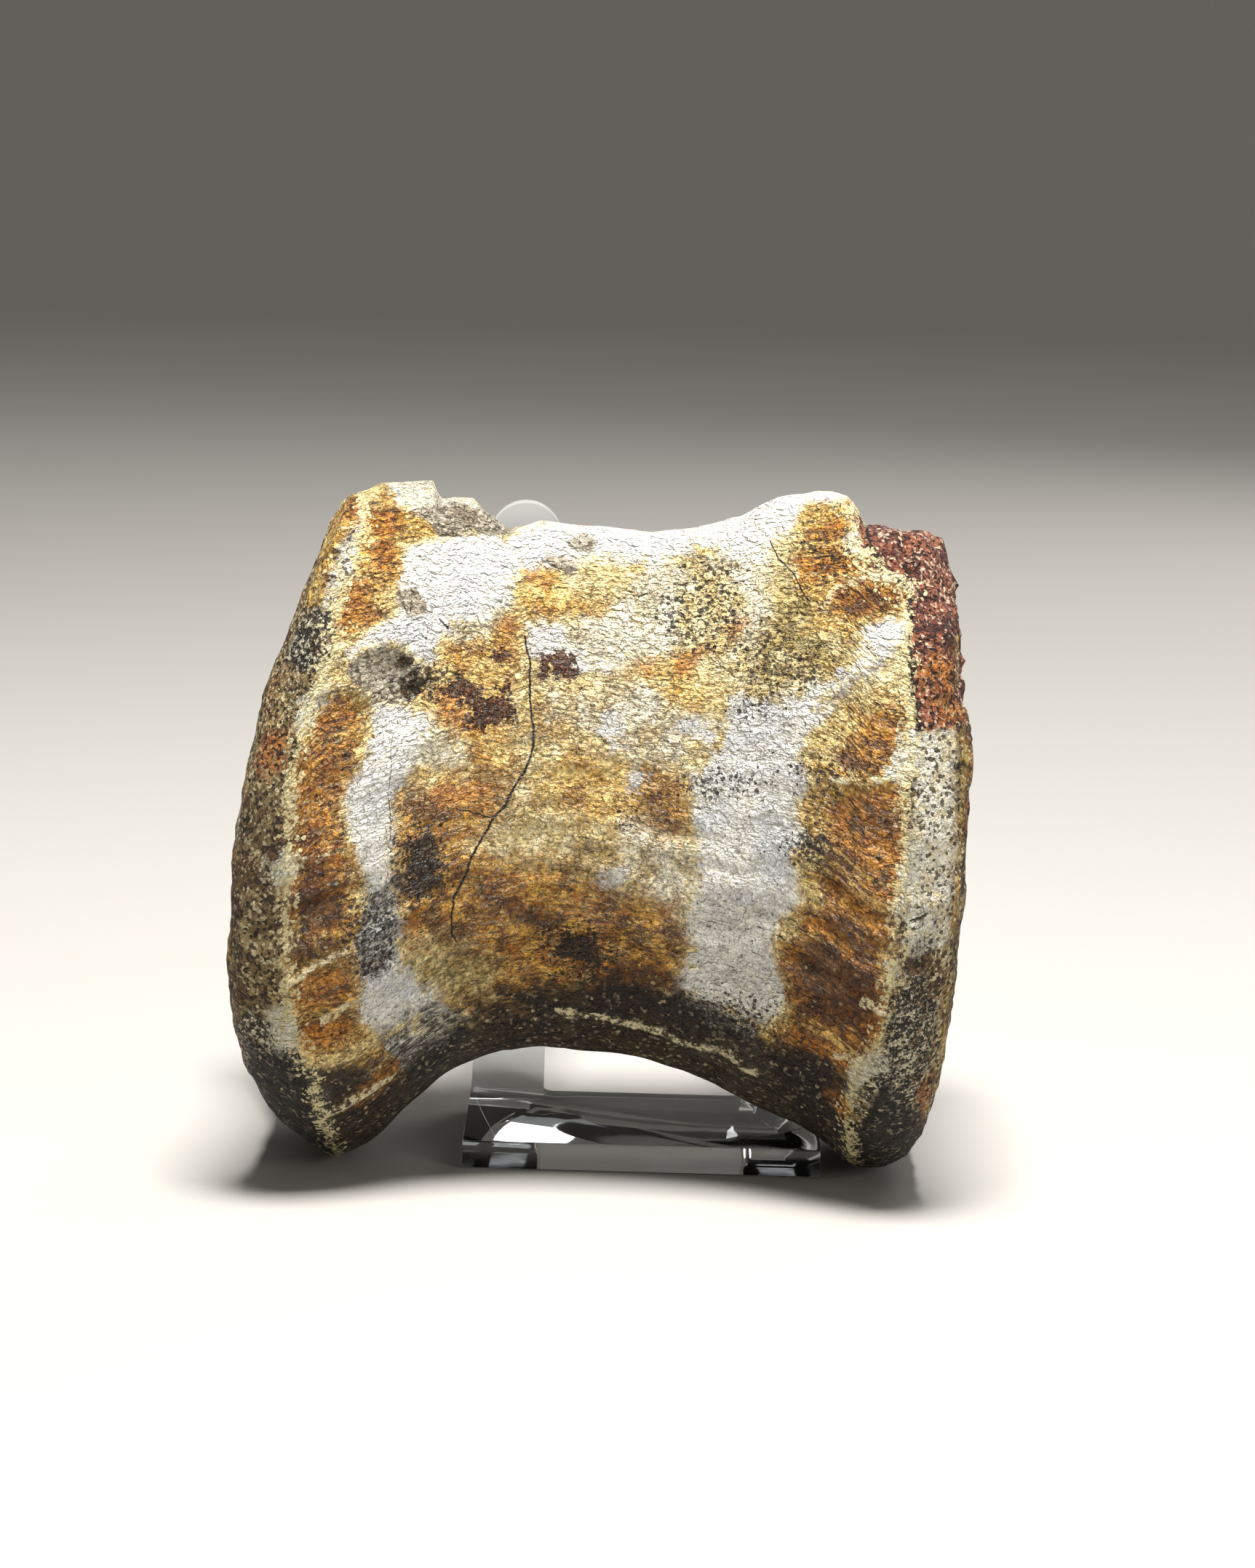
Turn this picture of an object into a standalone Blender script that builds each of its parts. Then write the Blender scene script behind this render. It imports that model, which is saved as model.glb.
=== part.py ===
# A fossil tail vertebra (the spool-shaped body, its arch broken off) standing on its two end
# rims and leaning back on a clear acrylic easel bent from one sheet.
# Metres. +X runs along the bone, +Y goes back to the easel's prongs, +Z is up, the floor is z = 0.

import math

import bmesh
import bpy
import numpy as np
from mathutils import Vector, noise

# Vertebra: depths front to back, and how the rings are spaced along the turned blank
RIM_HALF_DEPTH = 0.0332
WAIST_HALF_DEPTH = 0.0232
RIM_STATION = 0.0370
END_STATION = 0.0450
DISH_DEPTH = 0.0075
DISH_ROWS = 6
DISH_MOUTH = 0.80
RINGS_BETWEEN_RIMS = 29
RING_STEPS = 88
BLANK_RADIUS = 0.0400

# The worn band outside each rim line: station along the bone, and size against the rim's ring
BAND_ROWS = [(0.0378, 0.988), (0.0398, 0.972), (0.0424, 0.936), (0.0441, 0.880)]

# Side outline: (x, height) of the whole top that the sections follow, and of the arched underside
WHOLE_TOP = [
    (-0.0450, 0.0800), (-0.0340, 0.0872), (-0.0220, 0.0874), (-0.0120, 0.0850),
    (0.0000, 0.0838), (0.0120, 0.0848), (0.0220, 0.0880), (0.0300, 0.0892), (0.0450, 0.0850),
]
UNDERSIDE = [
    (-0.0450, 0.0010), (-0.0330, 0.0000), (-0.0293, 0.0006), (-0.0269, 0.0027),
    (-0.0239, 0.0060), (-0.0202, 0.0096), (-0.0172, 0.0120), (-0.0134, 0.0134),
    (-0.0086, 0.0147), (-0.0036, 0.0152), (0.0026, 0.0151), (0.0089, 0.0139),
    (0.0139, 0.0124), (0.0190, 0.0100), (0.0233, 0.0082), (0.0272, 0.0064),
    (0.0308, 0.0040), (0.0352, 0.0000), (0.0450, 0.0010),
]

# The edge along the front where the arch broke away: (x, height)
BROKEN_EDGE = [
    (-0.0450, 0.0718), (-0.0350, 0.0796), (-0.0303, 0.0837), (-0.0276, 0.0855),
    (-0.0214, 0.0859), (-0.0206, 0.0836), (-0.0166, 0.0835), (-0.0124, 0.0801),
    (-0.0084, 0.0810), (-0.0016, 0.0806), (0.0046, 0.0801), (0.0103, 0.0808),
    (0.0151, 0.0829), (0.0195, 0.0858), (0.0257, 0.0872), (0.0282, 0.0862),
    (0.0302, 0.0827), (0.0370, 0.0816), (0.0430, 0.0799),
]

# How far out the rim line and the end of the bone are at each height: (height, x)
LEFT_RIM = [
    (0.0000, -0.0320), (0.0114, -0.0350), (0.0177, -0.0373), (0.0260, -0.0380), (0.0499, -0.0378),
    (0.0582, -0.0360), (0.0624, -0.0336), (0.0759, -0.0331), (0.0832, -0.0305),
]
RIGHT_RIM = [
    (0.0000, 0.0300), (0.0083, 0.0312), (0.0125, 0.0328), (0.0208, 0.0347), (0.0312, 0.0360),
    (0.0499, 0.0368), (0.0582, 0.0358), (0.0686, 0.0355), (0.0738, 0.0318), (0.0811, 0.0292),
]
LEFT_END = [
    (0.0000, -0.0400), (0.0062, -0.0415), (0.0125, -0.0432), (0.0208, -0.0444), (0.0312, -0.0448),
    (0.0437, -0.0440), (0.0510, -0.0430), (0.0582, -0.0415), (0.0645, -0.0396), (0.0697, -0.0372),
    (0.0759, -0.0352), (0.0832, -0.0330),
]
RIGHT_END = [
    (0.0000, 0.0400), (0.0062, 0.0408), (0.0135, 0.0416), (0.0250, 0.0426), (0.0333, 0.0432),
    (0.0500, 0.0440), (0.0572, 0.0444), (0.0614, 0.0440), (0.0645, 0.0424), (0.0728, 0.0421),
    (0.0811, 0.0416),
]

# Share of the flare, from waist (0) to rim (1), at each distance from the middle of the bone
FLARE = [
    (0.000, 0.00), (0.006, 0.01), (0.013, 0.11), (0.018, 0.26), (0.022, 0.46), (0.026, 0.68),
    (0.030, 0.87), (0.034, 0.98), (0.037, 1.00),
]

SECTION_POWER = 2.25
BROKEN_TOP = 0.0035
CANAL_DEPTH = 0.0035
CANAL_HALF_WIDTH = 0.0070
TOP_FALL = math.tan(math.radians(14))
TOP_LIP = 0.0100
KEEL_HEIGHT = 0.0013
KEEL_WIDTH = math.radians(9)
KEEL_LEFT_ANGLE = math.radians(-54)
KEEL_RIGHT_ANGLE = math.radians(-70)
KEEL_REACH = 0.0260
SMOOTH_LUMPS = 0.00030
SMOOTH_LUMP_SIZE = 0.0130
RIM_LIP = 0.0006
RIM_LIP_WIDTH = 0.0028
FLARE_RIBS = 0.0004
FLARE_RIB_COUNT = 22
ROUGH_LUMPS = 0.00070
ROUGH_LUMP_SIZE = 0.0062

# A round pit on the front near the left rim, and the curved ridge below it
PIT_X = -0.0242
PIT_HEIGHT = 0.0608
PIT_RADIUS = 0.0042
PIT_DEPTH = 0.0012
PIT_RIDGE = 0.0005

# Easel: one clear sheet, cut to a U and bent up at the back of its base plate
SHEET_THICKNESS = 0.0034
PLATE_WIDTH = 0.0445
PLATE_DEPTH = 0.0280
PRONG_WIDTH = 0.0094
PRONG_LENGTH = 0.0780
PRONG_LEAN = math.radians(22)
BEND_RADIUS = 0.0030
BEND_CUTS = 7
TIP_SEGMENTS = 16
SLOT_FILLET = 0.0015
FILLET_SEGMENTS = 4
SHEET_EDGE_BEVEL = 0.0003
EASEL_OFFSET = 0.0058
CONTACT_GAP = 0.0003
PRONG_CLEAR_SIDE = 0.0020


def clear_scene():
    for obj in list(bpy.data.objects):
        bpy.data.objects.remove(obj, do_unlink=True)


def make_collection(name):
    collection = bpy.data.collections.new(name)
    bpy.context.scene.collection.children.link(collection)
    return collection


def make_material(name, color, roughness, transmission=0.0, ior=1.5):
    material = bpy.data.materials.new(name)
    material.use_nodes = True
    shader = material.node_tree.nodes["Principled BSDF"]
    shader.inputs["Base Color"].default_value = (*color, 1.0)
    shader.inputs["Roughness"].default_value = roughness
    shader.inputs["Metallic"].default_value = 0.0
    shader.inputs["Transmission Weight"].default_value = transmission
    shader.inputs["IOR"].default_value = ior
    material.diffuse_color = (*color, 1.0)
    return material


def read_curve(points, at):
    places, values = zip(*points)
    return np.interp(at, places, values)


def add_object(name, mesh, collection):
    obj = bpy.data.objects.new(name, mesh)
    collection.objects.link(obj)
    return obj


def made_mesh(obj, name):
    # The object's mesh with its modifiers applied
    bpy.context.view_layer.update()
    seen = obj.evaluated_get(bpy.context.evaluated_depsgraph_get())
    mesh = bpy.data.meshes.new_from_object(seen)
    mesh.name = name
    return mesh


def blank_profile():
    # Right half of the drum's profile, from the middle of its end dish out to the middle of its side
    rows = []
    for row in range(DISH_ROWS):
        size = DISH_MOUTH * row / DISH_ROWS
        station = END_STATION - DISH_DEPTH * (1 - (size / DISH_MOUTH) ** 2.4)
        rows.append((station, size))
    rows.append((END_STATION, DISH_MOUTH))
    rows.extend(reversed(BAND_ROWS))
    rows.append((RIM_STATION, 1.0))
    return rows


def turned_blank(collection):
    # A drum with dished ends, turned about Z; its rings are drawn in to the bone's sections later
    end_rows = blank_profile()
    side_stations = np.linspace(RIM_STATION, -RIM_STATION, RINGS_BETWEEN_RIMS)[1:-1]
    rows = end_rows + [(station, 1.0) for station in side_stations]
    rows += [(-station, size) for station, size in reversed(end_rows)]
    mesh = bpy.data.meshes.new("blank")
    points = [(size * BLANK_RADIUS, 0.0, station) for station, size in rows]
    mesh.from_pydata(points, [(i, i + 1) for i in range(len(points) - 1)], [])
    blank = add_object("blank", mesh, collection)
    turn = blank.modifiers.new("turn", "SCREW")
    turn.axis = "Z"
    turn.steps = RING_STEPS
    turn.render_steps = RING_STEPS
    turn.use_merge_vertices = True
    turn.merge_threshold = 0.00001
    return blank


def section_height(x):
    # The whole top and the underside give each ring its middle and its half height
    top = read_curve(WHOLE_TOP, x)
    low = read_curve(UNDERSIDE, x)
    return (top + low) / 2, (top - low) / 2


def section_reach(around):
    # A superellipse, a little squarer than an ellipse
    across = np.abs(np.cos(around)) ** SECTION_POWER
    along = np.abs(np.sin(around)) ** SECTION_POWER
    return (across + along) ** (-1 / SECTION_POWER)


def keel(x, around):
    # A low ridge along each lower edge of the waist, running down towards the right end
    share = np.clip((x + KEEL_REACH) / (2 * KEEL_REACH), 0, 1)
    angle = KEEL_LEFT_ANGLE + (KEEL_RIGHT_ANGLE - KEEL_LEFT_ANGLE) * share
    fade = np.clip(1 - np.abs(x) / KEEL_REACH, 0, 1) ** 0.5
    front_turn = np.where(np.cos(around) < 0, -math.pi - around, around)
    front_turn = np.where(front_turn < -math.pi, front_turn + 2 * math.pi, front_turn)
    ridge = np.exp(-(((front_turn - angle) / KEEL_WIDTH) ** 2))
    return KEEL_HEIGHT * fade * ridge


def soft_lower(values, limit, blend=0.0012):
    # The lower of two heights, with the corner between them rounded
    return (values + limit - np.sqrt((values - limit) ** 2 + blend**2)) / 2 + blend / 2


def shape_bone(station, size, around):
    # Where each point of the blank goes on the bone
    x = station.copy()
    outer = np.abs(station) / END_STATION
    for _ in range(4):
        middle, half_height = section_height(x)
        flare = read_curve(FLARE, np.abs(x))
        half_depth = WAIST_HALF_DEPTH + (RIM_HALF_DEPTH - WAIST_HALF_DEPTH) * flare
        reach = section_reach(around) * size
        ridge = keel(x, around)
        y = (half_depth + ridge) * np.cos(around) * reach
        z = middle + (half_height + ridge) * np.sin(around) * reach
        rim_left = read_curve(LEFT_RIM, z)
        rim_right = read_curve(RIGHT_RIM, z)
        end_left = read_curve(LEFT_END, z)
        end_right = read_curve(RIGHT_END, z)
        rim = np.where(station < 0, -rim_left, rim_right)
        end = np.where(station < 0, -end_left, end_right)
        past_rim = (np.abs(station) - RIM_STATION) / (END_STATION - RIM_STATION)
        side = np.abs(station) / RIM_STATION * rim
        beyond = rim + past_rim * (end - rim)
        is_side = (size > 0.999) & (outer <= RIM_STATION / END_STATION + 1e-6)
        x = np.sign(station) * np.where(is_side, side, beyond)
    canal = CANAL_DEPTH * np.exp(-((y / CANAL_HALF_WIDTH) ** 2))
    fall = TOP_FALL * np.clip(y + TOP_LIP, 0, None)
    top_limit = read_curve(BROKEN_EDGE, x) - canal * np.clip(size, 0, 1) ** 8 - fall
    z = np.where(np.sin(around) > 0, soft_lower(z, top_limit), z)
    return np.column_stack([x, y, z])


def roughness_of(station, size, points):
    # 1 on the worn bands, the dished ends and the broken top, 0 on the smooth bone skin
    past_rim = (np.abs(station) - RIM_STATION) / (END_STATION - RIM_STATION)
    worn = np.clip(past_rim * 2.5, 0, 1)
    worn = np.maximum(worn, size < BAND_ROWS[-1][1])
    top = read_curve(BROKEN_EDGE, points[:, 0])
    fall = TOP_FALL * np.clip(points[:, 1] + TOP_LIP, 0, None)
    broken = np.clip((points[:, 2] - top + fall + BROKEN_TOP) / BROKEN_TOP, 0, 1)
    broken *= points[:, 1] > -TOP_LIP
    return np.maximum(worn, broken)


def rim_relief(station, around):
    # A low lip along each rim line, and the ribs that run up to it over the flare
    from_rim = np.abs(np.abs(station) - RIM_STATION)
    lip = RIM_LIP * np.exp(-((from_rim / RIM_LIP_WIDTH) ** 2))
    near_rim = np.clip((np.abs(station) - 0.6 * RIM_STATION) / (0.4 * RIM_STATION), 0, 1)
    near_rim[np.abs(station) > RIM_STATION] = 0
    return lip + FLARE_RIBS * near_rim * np.sin(FLARE_RIB_COUNT * around)


def pit_relief(points):
    # The pit's floor lies below the skin, with a ridge round its edge
    away = np.hypot(points[:, 0] - PIT_X, points[:, 2] - PIT_HEIGHT) / PIT_RADIUS
    relief = PIT_RIDGE * np.exp(-(((away - 1.2) / 0.3) ** 2)) - PIT_DEPTH * np.exp(-(away**4))
    return np.where(points[:, 1] < 0, relief, 0.0)


def add_relief(mesh, roughness, relief):
    # Lumps along the surface's normals: broad and low on bone skin, closer and higher on worn parts
    for vertex, rough, height in zip(mesh.vertices, roughness, relief):
        place = vertex.co.copy()
        smooth = noise.noise(place / SMOOTH_LUMP_SIZE + Vector((3.1, 0.0, 7.7)))
        coarse = noise.noise(place / ROUGH_LUMP_SIZE + Vector((11.3, 5.2, 0.0)))
        lump = SMOOTH_LUMPS * smooth * (1 - rough) + ROUGH_LUMPS * coarse * rough
        vertex.co = place + vertex.normal * (lump + height)


def seat_on_floor(points):
    # The lowest point of each end rim is brought down to the floor
    left = points[:, 0] < 0
    left_low = points[left][np.argmin(points[left, 2])]
    right_low = points[~left][np.argmin(points[~left, 2])]
    slope = (right_low[2] - left_low[2]) / (right_low[0] - left_low[0])
    points[:, 2] -= left_low[2] + slope * (points[:, 0] - left_low[0])


def make_vertebra(collection, material):
    blank = turned_blank(collection)
    mesh = made_mesh(blank, "vertebra")
    bpy.data.objects.remove(blank, do_unlink=True)
    turned = read_points(mesh)
    station = turned[:, 2]
    size = np.hypot(turned[:, 0], turned[:, 1]) / BLANK_RADIUS
    around = np.arctan2(turned[:, 1], turned[:, 0])
    points = shape_bone(station, size, around)
    write_points(mesh, points)
    relief = rim_relief(station, around) + pit_relief(points)
    add_relief(mesh, roughness_of(station, size, points), relief)
    points = read_points(mesh)
    seat_on_floor(points)
    write_points(mesh, points)
    mesh.materials.append(material)
    mesh.shade_smooth()
    return add_object("vertebra", mesh, collection)


def read_points(mesh):
    flat = np.empty(len(mesh.vertices) * 3)
    mesh.vertices.foreach_get("co", flat)
    return flat.reshape(-1, 3)


def write_points(mesh, points):
    mesh.vertices.foreach_set("co", points.ravel())
    mesh.update()


def arc(center_x, center_t, radius, start, stop, segments):
    angles = np.linspace(start, stop, segments + 1)
    return [(center_x + radius * math.cos(a), center_t + radius * math.sin(a)) for a in angles]


def sheet_outline():
    # The U-shaped blank laid flat: x across, t from the front edge back and up the prongs
    half = PLATE_WIDTH / 2
    tip = PRONG_WIDTH / 2
    tip_t = PLATE_DEPTH + BEND_RADIUS * (math.pi / 2 - PRONG_LEAN) + PRONG_LENGTH - tip
    slot = half - PRONG_WIDTH
    points = [(-half, 0.0), (half, 0.0)]
    points += arc(half - tip, tip_t, tip, 0, math.pi, TIP_SEGMENTS)
    points += arc(
        slot - SLOT_FILLET, PLATE_DEPTH + SLOT_FILLET, SLOT_FILLET, 0, -math.pi / 2, FILLET_SEGMENTS
    )
    points += arc(
        SLOT_FILLET - slot, PLATE_DEPTH + SLOT_FILLET, SLOT_FILLET, -math.pi / 2, -math.pi, FILLET_SEGMENTS
    )
    points += arc(tip - half, tip_t, tip, 0, math.pi, TIP_SEGMENTS)
    return points


def bend_sheet(t):
    # Distance along the sheet's upper face to (y from the plate's front edge, height)
    full = math.pi / 2 - PRONG_LEAN
    arc_length = BEND_RADIUS * full
    turn = min(max(t - PLATE_DEPTH, 0.0), arc_length) / BEND_RADIUS
    y = min(t, PLATE_DEPTH) + BEND_RADIUS * math.sin(turn)
    z = SHEET_THICKNESS + BEND_RADIUS * (1 - math.cos(turn))
    straight = max(t - PLATE_DEPTH - arc_length, 0.0)
    return y + straight * math.cos(full), z + straight * math.sin(full)


def easel_front(vertebra):
    # The plate's front edge, placed so that the prongs' faces stand just clear of the bone's back
    points = read_points(vertebra.data)
    half = PLATE_WIDTH / 2
    reach = np.abs(points[:, 0] - EASEL_OFFSET)
    beside = (reach > half - PRONG_WIDTH - PRONG_CLEAR_SIDE) & (reach < half + PRONG_CLEAR_SIDE)
    lean = math.tan(PRONG_LEAN)
    back = np.max(points[beside, 1] - points[beside, 2] * lean)
    face_y = back + CONTACT_GAP / math.cos(PRONG_LEAN)
    bend_end = PLATE_DEPTH + BEND_RADIUS * (math.pi / 2 - PRONG_LEAN)
    y, z = bend_sheet(bend_end)
    return face_y + z * lean - y


def make_easel(collection, material, vertebra):
    shape = bmesh.new()
    corners = [shape.verts.new((x, t, 0.0)) for x, t in sheet_outline()]
    shape.faces.new(corners)
    bend_length = BEND_RADIUS * (math.pi / 2 - PRONG_LEAN)
    for cut in np.linspace(PLATE_DEPTH, PLATE_DEPTH + bend_length, BEND_CUTS):
        everything = list(shape.verts) + list(shape.edges) + list(shape.faces)
        bmesh.ops.bisect_plane(
            shape, geom=everything, dist=1e-6, plane_co=(0, cut, 0), plane_no=(0, 1, 0)
        )
    front = easel_front(vertebra)
    for corner in shape.verts:
        y, z = bend_sheet(corner.co.y)
        corner.co = Vector((corner.co.x + EASEL_OFFSET, front + y, z))
    mesh = bpy.data.meshes.new("easel")
    shape.to_mesh(mesh)
    shape.free()
    mesh.materials.append(material)
    easel = add_object("easel", mesh, collection)
    solid = easel.modifiers.new("sheet", "SOLIDIFY")
    solid.thickness = SHEET_THICKNESS
    solid.offset = -1.0
    solid.use_even_offset = True
    edges = easel.modifiers.new("edges", "BEVEL")
    edges.width = SHEET_EDGE_BEVEL
    edges.segments = 1
    edges.limit_method = "ANGLE"
    edges.angle_limit = math.radians(40)
    return easel


def center_on_origin(objects):
    # The whole object stands with the middle of its footprint's box at the origin
    corners = []
    for obj in objects:
        corners.append(read_points(made_mesh(obj, "measured")))
    corners = np.vstack(corners)
    middle = (corners.min(axis=0) + corners.max(axis=0)) / 2
    shift = np.array([-middle[0], -middle[1], -corners[:, 2].min()])
    for obj in objects:
        write_points(obj.data, read_points(obj.data) + shift)


def main():
    clear_scene()
    collection = make_collection("fossil_vertebra")
    bone = make_material("fossil_bone", (0.52, 0.36, 0.18), 0.62)
    acrylic = make_material("clear_acrylic", (1.0, 1.0, 1.0), 0.03, transmission=1.0, ior=1.49)
    vertebra = make_vertebra(collection, bone)
    easel = make_easel(collection, acrylic, vertebra)
    center_on_origin([vertebra, easel])


main()
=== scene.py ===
import math

import bmesh
import bpy
import numpy as np
from mathutils import Matrix, Vector, noise


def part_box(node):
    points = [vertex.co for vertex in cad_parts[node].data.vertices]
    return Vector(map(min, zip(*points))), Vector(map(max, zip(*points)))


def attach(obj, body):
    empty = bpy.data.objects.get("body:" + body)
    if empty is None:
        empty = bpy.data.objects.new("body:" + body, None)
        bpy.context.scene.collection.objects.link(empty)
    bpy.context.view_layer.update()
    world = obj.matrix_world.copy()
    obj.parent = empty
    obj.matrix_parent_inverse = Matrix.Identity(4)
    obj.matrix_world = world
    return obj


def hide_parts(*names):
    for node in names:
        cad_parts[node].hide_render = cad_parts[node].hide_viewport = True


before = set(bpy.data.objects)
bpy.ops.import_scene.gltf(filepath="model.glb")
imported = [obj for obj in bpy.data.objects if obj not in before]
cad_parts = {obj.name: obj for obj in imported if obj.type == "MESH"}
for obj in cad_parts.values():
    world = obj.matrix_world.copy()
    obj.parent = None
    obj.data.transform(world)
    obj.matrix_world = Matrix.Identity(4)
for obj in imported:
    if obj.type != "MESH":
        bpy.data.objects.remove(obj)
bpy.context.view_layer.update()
mm = 0.001

# pixel places in this script are in the photograph's own frame
photo = {"width": 1725, "height": 2156}


def hexColor(text):
    # sRGB hex to the linear colour that a shader takes
    parts = [int(text[i:i + 2], 16) / 255 for i in (1, 3, 5)]
    linear = [c / 12.92 if c <= 0.04045 else ((c + 0.055) / 1.055) ** 2.4 for c in parts]
    return (*linear, 1.0)


def addNode(tree, kind, inputs=None, out=0, **settings):
    # one node with its settings; an input is a number, a hex colour or a socket to link from
    node = tree.nodes.new("ShaderNode" + kind)
    for name, value in settings.items():
        setattr(node, name, value)
    for key, value in (inputs or {}).items():
        if isinstance(value, bpy.types.NodeSocket):
            tree.links.new(value, node.inputs[key])
        else:
            node.inputs[key].default_value = hexColor(value) if isinstance(value, str) else value
    return node.outputs[out]


def readVectors(mesh, name):
    flat = np.empty(len(mesh.vertices) * 3)
    mesh.vertices.foreach_get(name, flat)
    return flat.reshape(-1, 3)


def smoothStep(low, high, value):
    t = np.clip((value - low) / (high - low), 0, 1)
    return t * t * (3 - 2 * t)


def lumps(points, size, seed, octaves=2):
    # cloudy noise, about -1 to 1, with lumps of this size in the points' own units
    shift = Vector((seed * 7.31, seed * 3.17, seed * 1.93))
    return np.array([noise.fractal(Vector(p) / size + shift, 0.8, 2.1, octaves) for p in points])


# camera, at the photograph's viewing angle
print("camera")
cameraSettings = {
    "aim": (3.3 * mm, -5.0 * mm, 46.5 * mm),
    "distance": 575 * mm,
    "elevation": 9.5,
    "roll": 1.6,
    "lens": 105.0,
    "sensor": 36.0,
}


def makeCamera(s):
    camera = bpy.data.objects.new("studioCamera", bpy.data.cameras.new("studioCamera"))
    bpy.context.scene.collection.objects.link(camera)
    rise = math.radians(s["elevation"])
    look = Vector((0, math.cos(rise), -math.sin(rise)))
    turn = look.to_track_quat("-Z", "Y") @ Matrix.Rotation(math.radians(s["roll"]), 4, "Z").to_quaternion()
    camera.location = Vector(s["aim"]) - look * s["distance"]
    camera.rotation_euler = turn.to_euler()
    camera.data.lens = s["lens"]
    camera.data.sensor_width = s["sensor"]
    camera.data.clip_start = 0.01
    camera.data.clip_end = 20
    bpy.context.scene.camera = camera
    return np.array(camera.location) / mm, np.array(turn.to_matrix())


cameraPlace, cameraAxes = makeCamera(cameraSettings)
pixelAngle = cameraSettings["sensor"] / photo["height"] / cameraSettings["lens"]
pixelMm = pixelAngle * cameraSettings["distance"] / mm


def seenAt(points):
    # the pixel of the photograph at which each point, in mm, is seen
    local = (points - cameraPlace) @ cameraAxes
    across = photo["width"] / 2 - local[:, 0] / local[:, 2] / pixelAngle
    down = photo["height"] / 2 + local[:, 1] / local[:, 2] / pixelAngle
    return np.column_stack([across, down])


# bone mesh: the frame's solid, welded and subdivided
print("bone mesh")
boneSettings = {
    "levels": 2,
    "skinHeight": 0.16, "skinSize": 6.0,
    "fibreHeight": 0.20,
    "dentHeight": 0.32, "dentSize": 3.0,
    "grainHeight": 0.22, "grainSize": 1.3,
    "crumbHeight": 0.20, "crumbSize": 3.4,
    "ribHeight": 0.28,
    "lipHeight": 0.38, "lipWidth": 0.9,
    "pitDepth": 0.7,
    "crustHeight": 0.8, "crustSize": 2.8,
    "ringHeight": 0.50, "ringCount": 4, "rayHeight": 0.25,
    "ridgeHeight": 0.45,
    "crestStep": 7, "crestDepth": 5.0, "crestBack": 16.0,
}


def subdividedCopy(node, name, levels):
    shape = bmesh.new()
    shape.from_mesh(node.data)
    bmesh.ops.remove_doubles(shape, verts=shape.verts, dist=0.00001)
    bmesh.ops.join_triangles(
        shape, faces=shape.faces, angle_face_threshold=math.radians(70), angle_shape_threshold=math.radians(70)
    )
    mesh = bpy.data.meshes.new(name)
    shape.to_mesh(mesh)
    shape.free()
    piece = bpy.data.objects.new(name, mesh)
    bpy.context.scene.collection.objects.link(piece)
    smooth = piece.modifiers.new("smooth", "SUBSURF")
    smooth.levels = levels
    smooth.render_levels = levels
    bpy.context.view_layer.update()
    fine = bpy.data.meshes.new_from_object(piece.evaluated_get(bpy.context.evaluated_depsgraph_get()))
    piece.modifiers.clear()
    piece.data = fine
    fine.name = name
    return piece


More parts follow.
